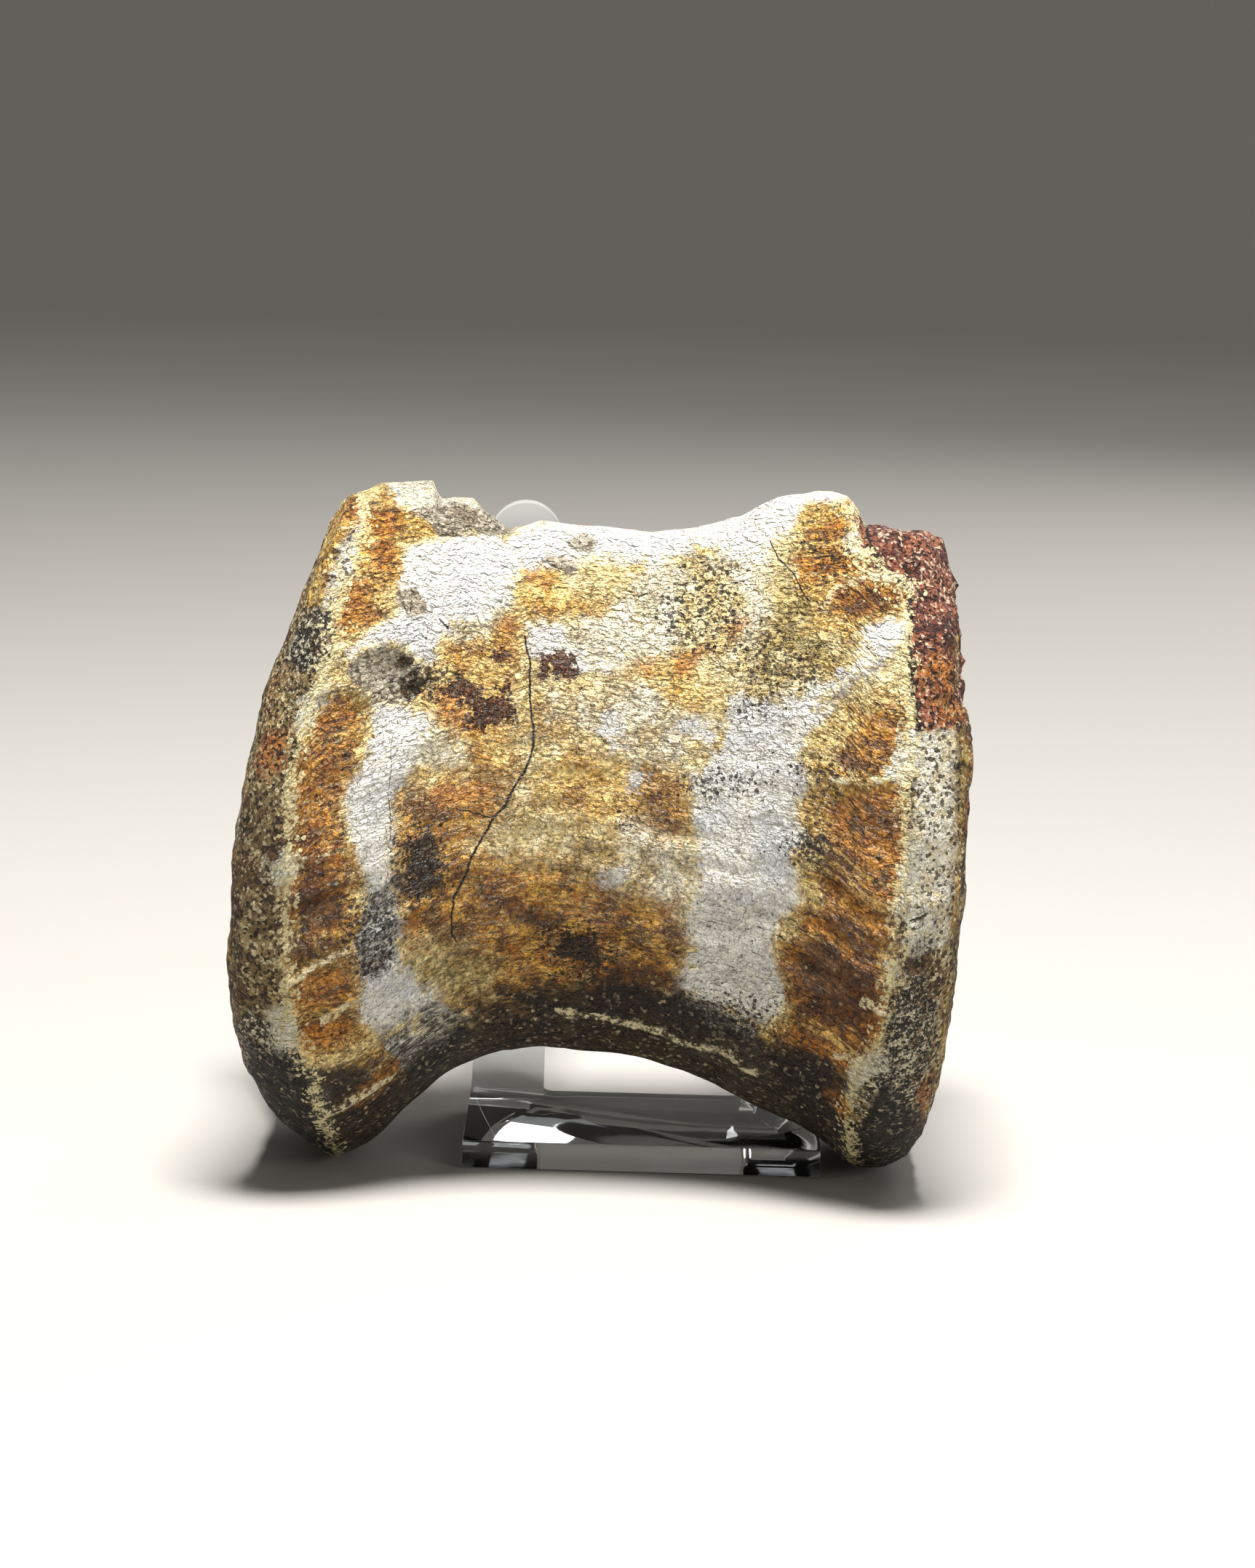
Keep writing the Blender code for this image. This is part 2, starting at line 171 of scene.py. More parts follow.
# where the photograph shows each marking: closed outlines of patches
outlines = {
    "ochre": [
        [(600, 880), (640, 862), (690, 850), (720, 870), (715, 930), (700, 1000), (720, 1060), (690, 1080),
         (640, 1070), (600, 1080), (570, 1060), (590, 1000), (600, 940)],
        [(705, 800), (760, 780), (790, 820), (840, 830), (860, 870), (800, 880), (740, 870), (710, 850)],
        [(740, 1000), (800, 990), (860, 1020), (930, 1000), (980, 950), (930, 890), (880, 900), (850, 930),
         (900, 960), (850, 970), (780, 960), (740, 970)],
        [(860, 1040), (940, 1060), (950, 1130), (930, 1180), (870, 1150), (800, 1130), (740, 1100), (740, 1050),
         (800, 1030)],
    ],
    "olive": [
        [(560, 1298), (610, 1288), (655, 1300), (682, 1338), (670, 1372), (600, 1380), (565, 1345)],
        [(1060, 745), (1100, 735), (1120, 760), (1100, 800), (1130, 830), (1150, 870), (1180, 880), (1140, 920),
         (1080, 940), (1030, 930), (1020, 880), (1050, 850), (1060, 800)],
        [(1120, 975), (1180, 950), (1200, 965), (1170, 1000), (1140, 1040), (1110, 1060), (1100, 1020)],
    ],
    "pale": [
        [(600, 770), (700, 785), (700, 850), (650, 880), (605, 880), (590, 830)],
        [(735, 855), (830, 850), (905, 770), (950, 790), (925, 850), (935, 890), (880, 915), (790, 925),
         (740, 900)],
        [(985, 775), (1050, 780), (1055, 860), (1020, 900), (1000, 860), (1030, 830)],
        [(760, 960), (850, 965), (870, 1000), (800, 1000), (750, 990)],
        [(850, 1130), (900, 1120), (945, 1150), (942, 1280), (905, 1285), (890, 1230), (860, 1200)],
        [(560, 990), (620, 1000), (640, 1050), (590, 1060), (560, 1050)],
        [(850, 935), (905, 945), (950, 1000), (940, 1050), (870, 1040), (832, 985)],
    ],
    "deep": [
        [(540, 1090), (600, 1075), (660, 1062), (710, 1085), (690, 1130), (650, 1160), (720, 1180), (790, 1190),
         (850, 1225), (930, 1240), (950, 1290), (935, 1350), (900, 1385), (960, 1420), (900, 1450), (700, 1450),
         (640, 1402), (600, 1385), (680, 1365), (676, 1330), (640, 1302), (596, 1296), (556, 1300), (546, 1250),
         (540, 1200)],
        [(880, 1080), (930, 1090), (950, 1120), (930, 1160), (890, 1140)],
    ],
    "white": [
        # the first white outline runs along the top edge: partly pale bone, partly a painted highlight where the top
        # faces the overhead light
        [(556, 752), (600, 742), (650, 732), (700, 738), (725, 724), (760, 706), (830, 706), (900, 716), (960, 710),
         (1010, 695), (1060, 670), (1140, 656), (1165, 680), (1150, 695), (1110, 692), (1085, 730), (1058, 745),
         (1050, 770), (1010, 768), (990, 756), (960, 748), (930, 768), (880, 778), (840, 764), (800, 768),
         (750, 778), (705, 782), (692, 830), (660, 850), (620, 850), (604, 880), (598, 912), (575, 905),
         (550, 888), (520, 884), (500, 890), (486, 896), (500, 872), (520, 852), (545, 845), (545, 808), (552, 780)],
        [(520, 968), (560, 972), (588, 985), (582, 1010), (570, 1040), (560, 1070), (535, 1090), (535, 1140),
         (535, 1190), (540, 1235), (545, 1300), (560, 1340), (595, 1365), (615, 1390), (560, 1402), (520, 1418),
         (490, 1402), (502, 1345), (497, 1290), (505, 1240), (500, 1200), (485, 1165), (475, 1130), (470, 1095),
         (480, 1070), (500, 1035), (507, 1000), (500, 975)],
        [(1018, 955), (1060, 964), (1110, 950), (1160, 925), (1205, 895), (1180, 880), (1190, 860), (1250, 835),
         (1255, 872), (1215, 905), (1170, 938), (1120, 968), (1150, 980), (1110, 1010), (1100, 1040), (1112, 1075),
         (1095, 1110), (1108, 1150), (1090, 1185), (1105, 1240), (1075, 1260), (1058, 1300), (1070, 1340),
         (1082, 1375), (1070, 1400), (1030, 1402), (1000, 1388), (950, 1372), (932, 1356), (950, 1300),
         (948, 1240), (958, 1200), (962, 1150), (950, 1105), (958, 1065), (985, 1030), (1000, 992), (1005, 965)],
    ],
    "ash": [
        [(505, 1215), (540, 1215), (545, 1290), (535, 1330), (505, 1345), (485, 1330), (480, 1290), (497, 1260)],
        [(555, 1385), (600, 1382), (650, 1395), (620, 1418), (580, 1422)],
        [(500, 1425), (560, 1410), (640, 1408), (650, 1420), (600, 1470), (550, 1510), (520, 1480)],
        [(930, 1370), (1000, 1385), (1050, 1410), (1060, 1440), (1030, 1440), (990, 1420), (940, 1410), (920, 1390)],
    ],
    "gold": [
        [(500, 680), (560, 650), (600, 655), (640, 690), (610, 735), (556, 752), (550, 800), (545, 845), (510, 865),
         (480, 880), (450, 890), (445, 850), (470, 800), (495, 750)],
        [(440, 950), (490, 950), (512, 980), (512, 1010), (500, 1045), (478, 1075), (470, 1110), (480, 1160),
         (498, 1210), (500, 1260), (490, 1300), (490, 1400), (520, 1430), (560, 1480), (520, 1570), (460, 1570),
         (430, 1480), (395, 1410), (385, 1300), (390, 1180), (395, 1060), (410, 980)],
        [(1090, 730), (1110, 690), (1165, 690), (1180, 730), (1160, 760), (1200, 770), (1200, 800), (1255, 810),
         (1250, 850), (1190, 860), (1160, 880), (1120, 860), (1100, 800)],
        [(1150, 980), (1200, 945), (1255, 960), (1270, 1040), (1250, 1085), (1258, 1150), (1245, 1230), (1245, 1300),
         (1225, 1360), (1222, 1420), (1200, 1460), (1180, 1500), (1190, 1600), (1150, 1600), (1100, 1540),
         (1050, 1480), (1040, 1420), (1082, 1395), (1082, 1360), (1068, 1300), (1075, 1265), (1105, 1240),
         (1100, 1190), (1115, 1150), (1100, 1110), (1118, 1075), (1105, 1040), (1115, 1010)],
    ],
    "rust": [
        [(508, 700), (540, 692), (560, 715), (545, 740), (545, 780), (552, 795), (525, 790), (510, 765), (506, 730)],
        [(485, 800), (508, 795), (520, 830), (528, 845), (505, 860), (480, 870), (462, 872), (460, 855), (470, 830)],
        [(455, 955), (485, 965), (498, 995), (490, 1030), (480, 1055), (468, 1085), (460, 1120), (470, 1160),
         (482, 1200), (490, 1240), (485, 1275), (470, 1290), (400, 1285), (385, 1260), (398, 1180), (402, 1100),
         (405, 1040), (425, 1010), (440, 975)],
        [(480, 1325), (440, 1330), (400, 1355), (400, 1400), (408, 1440), (450, 1450), (485, 1420), (490, 1380)],
        [(540, 1455), (500, 1470), (455, 1490), (450, 1520), (490, 1560), (530, 1530), (570, 1490)],
        [(1140, 715), (1165, 705), (1175, 735), (1160, 750), (1165, 765), (1195, 775), (1190, 790), (1150, 792),
         (1120, 800), (1095, 795), (1090, 770), (1110, 750), (1105, 730)],
        [(1150, 815), (1190, 800), (1230, 806), (1245, 822), (1235, 842), (1200, 850), (1165, 848), (1148, 835)],
        [(1200, 970), (1250, 960), (1252, 990), (1240, 1005), (1250, 1040), (1235, 1060), (1190, 1068),
         (1150, 1062), (1145, 1040), (1165, 1020), (1185, 995)],
        [(1170, 1088), (1230, 1085), (1225, 1115), (1248, 1125), (1248, 1160), (1232, 1190), (1235, 1240),
         (1235, 1290), (1212, 1305), (1212, 1330), (1220, 1365), (1222, 1395), (1212, 1430), (1185, 1445),
         (1165, 1490), (1175, 1550), (1140, 1560), (1100, 1500), (1060, 1440), (1090, 1400), (1085, 1350),
         (1075, 1310), (1100, 1265), (1130, 1240), (1125, 1190), (1145, 1150), (1135, 1120), (1150, 1100)],
    ],
    "umber": [
        [(655, 1220), (700, 1224), (768, 1262), (750, 1282), (700, 1264), (660, 1246)],
        [(1100, 1300), (1200, 1310), (1210, 1360), (1200, 1420), (1100, 1400), (1095, 1340)],
        [(1170, 1118), (1230, 1120), (1235, 1145), (1180, 1150)],
        [(1165, 815), (1225, 820), (1220, 840), (1165, 838)],
        [(415, 1190), (470, 1200), (472, 1270), (420, 1282), (405, 1250)],
        [(400, 1288), (480, 1288), (484, 1308), (440, 1318), (395, 1335)],
        [(400, 1140), (440, 1140), (445, 1165), (405, 1170)],
        [(840, 1320), (900, 1325), (930, 1350), (900, 1395), (820, 1395), (800, 1360)],
        [(1060, 1445), (1120, 1470), (1160, 1520), (1130, 1545), (1070, 1500)],
    ],
    "blot": [
        [(560, 1155), (590, 1150), (605, 1185), (600, 1225), (575, 1235), (552, 1215), (550, 1180)],
        [(770, 1285), (810, 1282), (835, 1305), (825, 1328), (790, 1325), (765, 1305)],
        [(1095, 1165), (1115, 1150), (1128, 1158), (1118, 1182), (1098, 1184)],
        [(555, 905), (575, 918), (600, 925), (606, 942), (580, 950), (575, 962), (556, 955)],
    ],
    "maroon": [
        [(625, 930), (648, 938), (664, 956), (690, 948), (702, 936), (712, 950), (708, 994), (684, 990),
         (664, 1004), (640, 996), (645, 972), (610, 958)],
        [(740, 900), (762, 896), (788, 908), (798, 934), (768, 936), (746, 924)],
        [(668, 896), (694, 896), (698, 914), (676, 916)],
    ],
    "flush": [
        [(596, 945), (630, 935), (645, 990), (680, 1000), (640, 1008), (606, 985)],
        [(722, 788), (750, 782), (765, 800), (745, 812), (728, 800)],
        [(690, 838), (705, 840), (712, 870), (695, 880), (685, 860)],
        [(995, 850), (1020, 848), (1028, 866), (1005, 876), (992, 866)],
        [(925, 905), (945, 895), (985, 885), (985, 895), (950, 925), (925, 925)],
        [(865, 915), (895, 905), (905, 918), (885, 930)],
        [(572, 942), (590, 948), (586, 962), (574, 958)],
        [(600, 1085), (640, 1075), (690, 1080), (660, 1100), (620, 1110), (595, 1105)],
    ],
    "pit": [
        [(500, 892), (530, 888), (555, 898), (570, 920), (585, 945), (570, 968), (540, 968), (510, 955),
         (480, 935), (478, 915)],
        [(548, 812), (575, 805), (585, 830), (578, 850), (560, 845), (545, 830)],
        [(565, 700), (600, 670), (650, 672), (672, 695), (712, 728), (690, 736), (650, 730), (605, 738), (590, 720)],
        [(780, 742), (800, 734), (822, 746), (812, 760), (790, 756)],
        [(752, 768), (775, 766), (796, 782), (785, 792), (765, 782)],
    ],
    "sandstone": [
        [(1180, 700), (1210, 715), (1270, 722), (1330, 745), (1340, 830), (1335, 900), (1365, 935), (1360, 985),
         (1290, 1000), (1262, 1005), (1256, 960), (1246, 905), (1250, 850), (1240, 810), (1205, 798), (1200, 770),
         (1165, 755)],
    ],
    "chalk": [
        [(416, 948), (456, 950), (434, 985), (420, 1010), (402, 1002)],
        [(368, 1180), (402, 1172), (408, 1202), (385, 1218), (368, 1208)],
        [(368, 1388), (398, 1382), (406, 1440), (376, 1442)],
        [(422, 1486), (452, 1498), (456, 1548), (428, 1542)],
        [(1236, 1008), (1264, 1020), (1272, 1060), (1240, 1080), (1218, 1070)],
        [(1236, 1195), (1262, 1145), (1266, 1240), (1238, 1255)],
        [(1212, 1305), (1238, 1328), (1244, 1352), (1220, 1342)],
        [(1158, 1502), (1174, 1458), (1212, 1442), (1218, 1472), (1184, 1492), (1174, 1514)],
        [(1164, 732), (1202, 730), (1210, 752), (1186, 762), (1166, 756)],
        [(532, 660), (600, 650), (600, 690), (572, 700), (545, 690)],
        [(604, 664), (655, 662), (676, 690), (652, 694), (612, 688)],
    ],
    "clean": [
        # the top strip, kept plain of pores and dark marks: a painted highlight where the top faces the light
        [(552, 750), (700, 735), (760, 690), (900, 700), (1060, 650), (1120, 665), (1085, 735), (1040, 765),
         (960, 755), (900, 765), (760, 768), (700, 780), (660, 830), (590, 840), (560, 792)],
    ],
    "yellowRim": [
        [(430, 690), (500, 665), (496, 715), (470, 740), (450, 790), (440, 835), (385, 840), (390, 780)],
        [(1322, 1010), (1360, 1000), (1350, 1300), (1325, 1480), (1295, 1570), (1250, 1600), (1245, 1560),
         (1292, 1480), (1310, 1300), (1324, 1100)],
    ],
    "rustRim": [
        [(470, 690), (500, 680), (496, 712), (472, 716)],
        [(340, 1000), (395, 1000), (392, 1060), (330, 1062)],
        [(345, 930), (375, 935), (365, 1000), (335, 1000)],
        [(1260, 1500), (1300, 1470), (1300, 1540), (1265, 1560)],
        [(1262, 905), (1300, 900), (1350, 935), (1350, 992), (1290, 1003), (1268, 960)],
    ],
    "darkRim": [
        [(395, 838), (460, 845), (458, 905), (440, 925), (385, 915), (380, 880)],
        [(300, 1390), (400, 1400), (420, 1450), (440, 1480), (460, 1600), (380, 1620), (300, 1500)],
        [(1180, 1500), (1215, 1430), (1235, 1360), (1262, 1330), (1290, 1400), (1265, 1500), (1240, 1620),
         (1180, 1620), (1190, 1540)],
    ],
    "creamRim": [
        [(500, 700), (497, 760), (482, 800), (465, 840), (438, 835), (455, 780), (470, 740)],
        [(1245, 1000), (1310, 1005), (1312, 1180), (1300, 1300), (1250, 1310), (1240, 1230), (1255, 1140),
         (1262, 1060)],
    ],
}

# round marks: x, y, half width and half height
spots = {
    "white": [(838, 1003, 18, 22), (965, 1008, 20, 14), (752, 885, 26, 24), (790, 912, 30, 12), (940, 1000, 14, 10),
              (870, 1070, 12, 12), (845, 1208, 16, 10), (1185, 748, 18, 14), (1205, 795, 30, 10)],
    "pepper": [(965, 845, 62, 58), (1075, 915, 66, 36), (1060, 885, 34, 22), (992, 1078, 52, 18),
               (1035, 968, 30, 20), (1130, 1062, 40, 16), (1140, 1095, 18, 10), (600, 936, 36, 28),
               (1108, 1165, 36, 26), (866, 1128, 16, 18), (1140, 765, 44, 26), (980, 780, 40, 24),
               (575, 1190, 44, 56), (800, 1305, 60, 40), (510, 1290, 40, 60), (990, 1400, 80, 30)],
}

# open lines, each with its half width in mm
lines = {
    "crack": (0.15, [(722, 880), (727, 905), (729, 927), (730, 960), (733, 1005), (728, 1045), (709, 1085),
                     (695, 1108), (680, 1122), (664, 1150), (651, 1177), (641, 1200), (628, 1225), (622, 1260),
                     (624, 1290)]),
    "sideCrack": (0.10, [(628, 1112), (650, 1118), (668, 1120), (682, 1122)]),
    "upperCrack": (0.09, [(1058, 748), (1078, 775), (1098, 800), (1112, 828)]),
    "shortCrack": (0.12, [(897, 811), (886, 817), (876, 823)]),
    "hairline": (0.06, [(970, 898), (990, 915), (1012, 935)]),
    "fineLine": (0.04, [(540, 1010), (535, 1060), (534, 1110), (538, 1160)]),
    "rimCrack": (0.10, [(1248, 1266), (1266, 1258), (1282, 1252)]),
    "nick": (0.12, [(604, 850), (612, 858), (620, 866)]),
    # dark line at the sandstone crust's edge: partly a gap, partly painted shade beside the raised crust
    "sandGap": (0.16, [(1186, 722), (1200, 764), (1207, 790), (1245, 812), (1252, 850), (1247, 905), (1257, 960),
                       (1263, 1003)]),
}
ridges = {
    "pitRidge": (0.7, [(436, 950), (462, 941), (486, 946), (506, 958), (526, 977)]),
    "leftRibOne": (0.5, [(384, 1354), (410, 1342), (440, 1325), (482, 1306)]),
    "leftRibTwo": (0.5, [(440, 1408), (462, 1394), (494, 1372)]),
    "leftRibThree": (0.4, [(452, 1532), (500, 1502), (545, 1476)]),
    "leftRibFour": (0.4, [(396, 1176), (430, 1182), (470, 1168)]),
    "rightRibOne": (0.6, [(1128, 835), (1160, 808), (1200, 797), (1236, 799), (1252, 816)]),
    "rightRibTwo": (0.5, [(1140, 1074), (1180, 1076), (1240, 1068)]),
    "rightRibThree": (0.5, [(1140, 1448), (1180, 1458), (1214, 1442)]),
    "rightRibFour": (0.5, [(1120, 968), (1160, 938), (1205, 905), (1240, 880)]),
    "rightRibFive": (0.4, [(1180, 1378), (1205, 1385), (1226, 1400)]),
    # the belly keel: its pale line is partly cream, partly a painted glint along the ridge
    "belly": (0.9, [(765, 1386), (800, 1392), (840, 1399), (900, 1418), (990, 1444), (1040, 1475)]),
}
# the bone's top outline
crest = [(480, 690), (494, 679), (526, 664), (597, 661), (603, 684), (651, 684), (669, 702), (698, 727), (720, 724),
         (744, 716), (823, 724), (894, 733), (959, 726), (1016, 709), (1066, 684), (1137, 674), (1166, 684),
         (1184, 720), (1201, 727), (1266, 738), (1300, 752)]
leftRim = [(494, 691), (497, 740), (478, 790), (462, 840), (452, 890), (436, 925), (432, 950), (412, 990),
           (398, 1049), (394, 1177), (387, 1299), (394, 1406), (423, 1477), (451, 1562), (470, 1620)]
rightRim = [(1172, 700), (1176, 745), (1205, 785), (1250, 815), (1250, 884), (1246, 963), (1259, 1041),
            (1246, 1084), (1253, 1156), (1238, 1227), (1238, 1299), (1222, 1356), (1216, 1420), (1190, 1460),
            (1170, 1506), (1172, 1620)]


def inOutline(seen, outline):
    # signed distance in mm to a closed outline, above 0 inside it
    away = np.full(len(seen), 1e9)
    inside = np.zeros(len(seen), bool)
    for (ax, ay), (bx, by) in zip(outline, outline[1:] + outline[:1]):
        dx, dy = bx - ax, by - ay
        px, py = seen[:, 0] - ax, seen[:, 1] - ay
        t = np.clip((px * dx + py * dy) / (dx * dx + dy * dy), 0, 1)
        away = np.minimum(away, np.hypot(px - t * dx, py - t * dy))
        if dy:
            inside ^= ((ay > seen[:, 1]) != (by > seen[:, 1])) & (px < dx * py / dy)
    return np.where(inside, away, -away) * pixelMm


def fromLine(seen, line):
    # signed distance in mm to an open line, and 0 to 1 along it
    away = np.full(len(seen), 1e9)
    signed = np.full(len(seen), 1e9)
    share = np.zeros(len(seen))
    for i, ((ax, ay), (bx, by)) in enumerate(zip(line, line[1:])):
        dx, dy = bx - ax, by - ay
        px, py = seen[:, 0] - ax, seen[:, 1] - ay
        along = (px * dx + py * dy) / (dx * dx + dy * dy)
        t = np.clip(along, 0, 1)
        gap = np.hypot(px - t * dx, py - t * dy)
        nearer = gap < away
        signed = np.where(nearer, gap * np.sign(px * dy - py * dx), signed)
        share = np.where(nearer, (i + along) / (len(line) - 1), share)
        away = np.minimum(away, gap)
    return signed * pixelMm, share


def inSpot(seen, spot):
    x, y, halfWidth, halfHeight = spot
    reach = np.hypot((seen[:, 0] - x) / halfWidth, (seen[:, 1] - y) / halfHeight)
    return (1 - reach) * min(halfWidth, halfHeight) * pixelMm


def drumPlace(points):
    # each point carried to a round drum of the same length, so that streaks can follow the flare
    edges = np.linspace(points[:, 0].min(), points[:, 0].max(), 61)
    which = np.clip(np.digitize(points[:, 0], edges) - 1, 0, 59)
    limits = np.array([[f(points[which == i, axis]) for f in (np.min, np.max) for axis in (1, 2)]
                       for i in range(60)])
    centres = (edges[1:] + edges[:-1]) / 2
    lowY, lowZ, highY, highZ = [np.interp(points[:, 0], centres, limits[:, k]) for k in range(4)]
    across = (points[:, 1] - (lowY + highY) / 2) / (highY - lowY) * 2
    up = (points[:, 2] - (lowZ + highZ) / 2) / (highZ - lowZ) * 2
    reach = np.hypot(across, up)
    angle = np.arctan2(up, across)
    return np.column_stack([points[:, 0], 33 * np.cos(angle), 33 * np.sin(angle)]), reach


def matchCrest(points, s):
    # the notches and steps of the broken top, finer than the frame's rings
    seen = seenAt(points)
    places, heights = zip(*crest)
    inside = (seen[:, 0] > places[0]) & (seen[:, 0] < places[-1])
    edges = np.arange(places[0], places[-1] + s["crestStep"], s["crestStep"])
    which = np.clip(np.digitize(seen[:, 0], edges) - 1, 0, len(edges) - 2)
    tops = np.array([seen[inside & (which == i), 1].min() for i in range(len(edges) - 1)])
    tops = np.interp(seen[:, 0], (edges[1:] + edges[:-1]) / 2, tops)
    lift = (tops - np.interp(seen[:, 0], places, heights)) * pixelMm
    ends = smoothStep(places[0], places[0] + 14, seen[:, 0]) * smoothStep(places[-1], places[-1] - 14, seen[:, 0])
    depth = (seen[:, 1] - tops) * pixelMm
    share = ends * smoothStep(s["crestDepth"], 0, depth) * smoothStep(s["crestBack"], 0, points[:, 1] + 16)
    return points + np.outer(lift * share, (0, 0, 1))


def shapeBone(piece, s):
    mesh = piece.data
    points = readVectors(mesh, "co") / mm
    normals = readVectors(mesh, "normal")
    low, high = [np.array(corner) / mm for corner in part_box("vertebra")]
    middle = (low + high) / 2
    points = matchCrest(points, s)
    x, y, z = points.T
    print("  zones", len(points))
    drum, reach = drumPlace(points)
    wide, close, tight = lumps(points, 10.0, 1), lumps(points, 3.5, 2), lumps(points, 1.5, 3)
    drift = np.column_stack([lumps(points, 18.0, k, 1) for k in (21, 22, 23)])
    # the front is painted as the photograph shows it, the back with the same kinds of patches moved about
    mirrored = points * (1, -1, 1) + (0, 2 * middle[1], 0) + drift * (5, 0, 7)
    ragged = np.column_stack([close, lumps(points, 3.5, 12)]) * 3.5
    seen = seenAt(points) + ragged
    seenBack = seenAt(mirrored) + ragged
    toCamera = cameraPlace - points
    facing = np.sum(normals * toCamera, axis=1) / np.linalg.norm(toCamera, axis=1)
    front = smoothStep(-0.20, 0.06, facing) * smoothStep(8, 2, y - middle[1])
    backSpots = {"blot": (3.2, 9.0, -2.0), "maroon": (2.6, 6.0, -1.9), "flush": (2.6, 9.0, -1.5),
                 "pit": (2.5, 13.0, -1.8), "white": (2.0, 7.0, -1.7)}
    fields = {}
    for name, shapes in outlines.items():
        shown = np.max([inOutline(seen, shape) for shape in shapes], axis=0)
        if name in ("blot", "maroon", "flush", "pit"):
            height, size, offset = backSpots[name]
            hidden = height * lumps(points, size, 30 + len(name)) + offset
        else:
            hidden = np.max([inOutline(seenBack, shape) for shape in shapes], axis=0)
        fields[name] = shown * front + hidden * (1 - front)
    for name, places in spots.items():
        shown = np.max([inSpot(seen, spot) for spot in places], axis=0)
        hidden = 3.0 * lumps(points, 8.0, 40 + len(name)) - 1.6
        field = shown * front + hidden * (1 - front)
        fields[name] = np.maximum(fields[name], field) if name in fields else field
    for name, (width, line) in lines.items():
        away, share = fromLine(seen, line)
        on = (share > -0.03) & (share < 1.03) & (front > 0.5)
        fields[name] = np.where(on, away, 4.0)
    # the outlines were drawn from the front, so on the ends they give way to patches of their own
    endFace = smoothStep(0.78, 0.95, np.abs(normals[:, 0]))
    lowDown = {"darkRim": (26 - z) / 14}
    for seed, name in enumerate(("chalk", "creamRim", "yellowRim", "rustRim", "darkRim")):
        patches = 3.0 * lumps(points, 8.0, 50 + seed) - 1.6 + lowDown.get(name, 0)
        fields[name] = np.clip(fields[name], -3, 3) * (1 - endFace) + patches * endFace
    fields["sandstone"] = fields["sandstone"] + 12.0 * endFace * wide
    # past the rim line: the worn band, then the dished end
    leftEdge, share = fromLine(seen, leftRim)
    rightEdge, share = fromLine(seen, rightRim)
    leftBack, share = fromLine(seenBack - ragged, leftRim)
    rightBack, share = fromLine(seenBack - ragged, rightRim)
    left = leftEdge * front + leftBack * (1 - front)
    right = rightEdge * front + rightBack * (1 - front)
    fingers = lumps(drum * (0.09, 1, 1), 3.1, 7)
    pastRim = np.where(x < 0, -left, right) - 0.9 * fingers - 0.4 * tight
    inDish = (reach < 0.80) & (np.abs(x) > 28)
    pastRim = np.where(inDish, 6.0, pastRim)
    # the seat of the broken arch, on top behind the front lip
    scar = smoothStep(0.70, 0.90, normals[:, 2]) * smoothStep(-11, -7, y - middle[1] + close) * (z > middle[2] + 20)
    scar *= np.abs(x) < 36
    fields["pastRim"] = pastRim
    fields["scar"] = 3 * scar - 1.5
    # darker towards the bottom, partly grime and partly painted shade; on the down-facing underside a painted shade
    lowest = (9 - z) * 0.22 + 3.2 * wide + 1.2 * close + 0.20 * np.clip(np.abs(x) - 28, 0, 12) - 1.9
    fields["grime"] = np.maximum(lowest, 4.5 * smoothStep(0.28, 0.62, -normals[:, 2]) - 2.3 + 0.8 * wide)
    fields["dish"] = np.where(inDish, (0.80 - reach) * 33, -1.0)
    print("  relief")
    fibres = lumps(drum * (0.20, 1, 1), 1.5, 8)
    worn = np.clip(smoothStep(-0.3, 0.8, pastRim) + scar, 0, 1)
    skin = 1 - worn
    onFlare = smoothStep(-0.5, 2.0, fields["gold"]) * skin
    relief = s["skinHeight"] * lumps(points, s["skinSize"], 4) * skin
    relief += s["fibreHeight"] * fibres * skin
    relief += s["dentHeight"] * lumps(drum * (0.4, 1, 1), s["dentSize"], 13) * skin * smoothStep(62, 30, z)
    relief += worn * s["grainHeight"] * lumps(points, s["grainSize"], 5, 1)
    relief += worn * s["crumbHeight"] * lumps(points, s["crumbSize"], 6)
    relief += s["ribHeight"] * onFlare * fingers
    relief += s["lipHeight"] * np.exp(-((pastRim + 0.5 + 0.6 * tight) / s["lipWidth"]) ** 2)
    relief -= s["pitDepth"] * smoothStep(-0.2, 1.0, fields["pit"]) * front * (z < middle[2] + 33)
    crust = smoothStep(-0.4, 0.6, fields["sandstone"]) * worn
    relief += s["crustHeight"] * crust * (0.5 + lumps(points, s["crustSize"], 9))
    inFace = smoothStep(0, 3, fields["dish"])
    ringPhase = (reach / 0.8 * s["ringCount"] + 0.35 * close) * 2 * math.pi
    fields["ring"] = inFace * np.sin(ringPhase)
    relief += s["ringHeight"] * fields["ring"]
    relief += s["rayHeight"] * inFace * lumps(drum * (0, 1, 1), 4.0, 15)
    for name, (width, line) in ridges.items():
        away, share = fromLine(seen, line)
        on = smoothStep(-0.05, 0.08, share) * smoothStep(1.05, 0.92, share) * front
        relief += s["ridgeHeight"] * on * np.exp(-(away / width) ** 2)
        fields[name] = np.where(on > 0.05, np.abs(away), 4.0)
    moved = np.clip(points + normals * relief[:, None], low, high)
    mesh.vertices.foreach_set("co", (moved * mm).ravel())
    fields["coarse"] = np.maximum(worn, smoothStep(-0.2, 0.4, fields["pit"]))
    for name, values in fields.items():
        layer = mesh.attributes.new(name, "FLOAT", "POINT")
        layer.data.foreach_set("value", np.clip(values, -4, 4))
    layer = mesh.attributes.new("drum", "FLOAT_VECTOR", "POINT")
    layer.data.foreach_set("vector", drum.ravel())
    mesh.shade_smooth()
    mesh.update()


bone = subdividedCopy(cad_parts["vertebra"], "boneFossil", boneSettings["levels"])
shapeBone(bone, boneSettings)
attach(bone, "root")
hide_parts("vertebra")


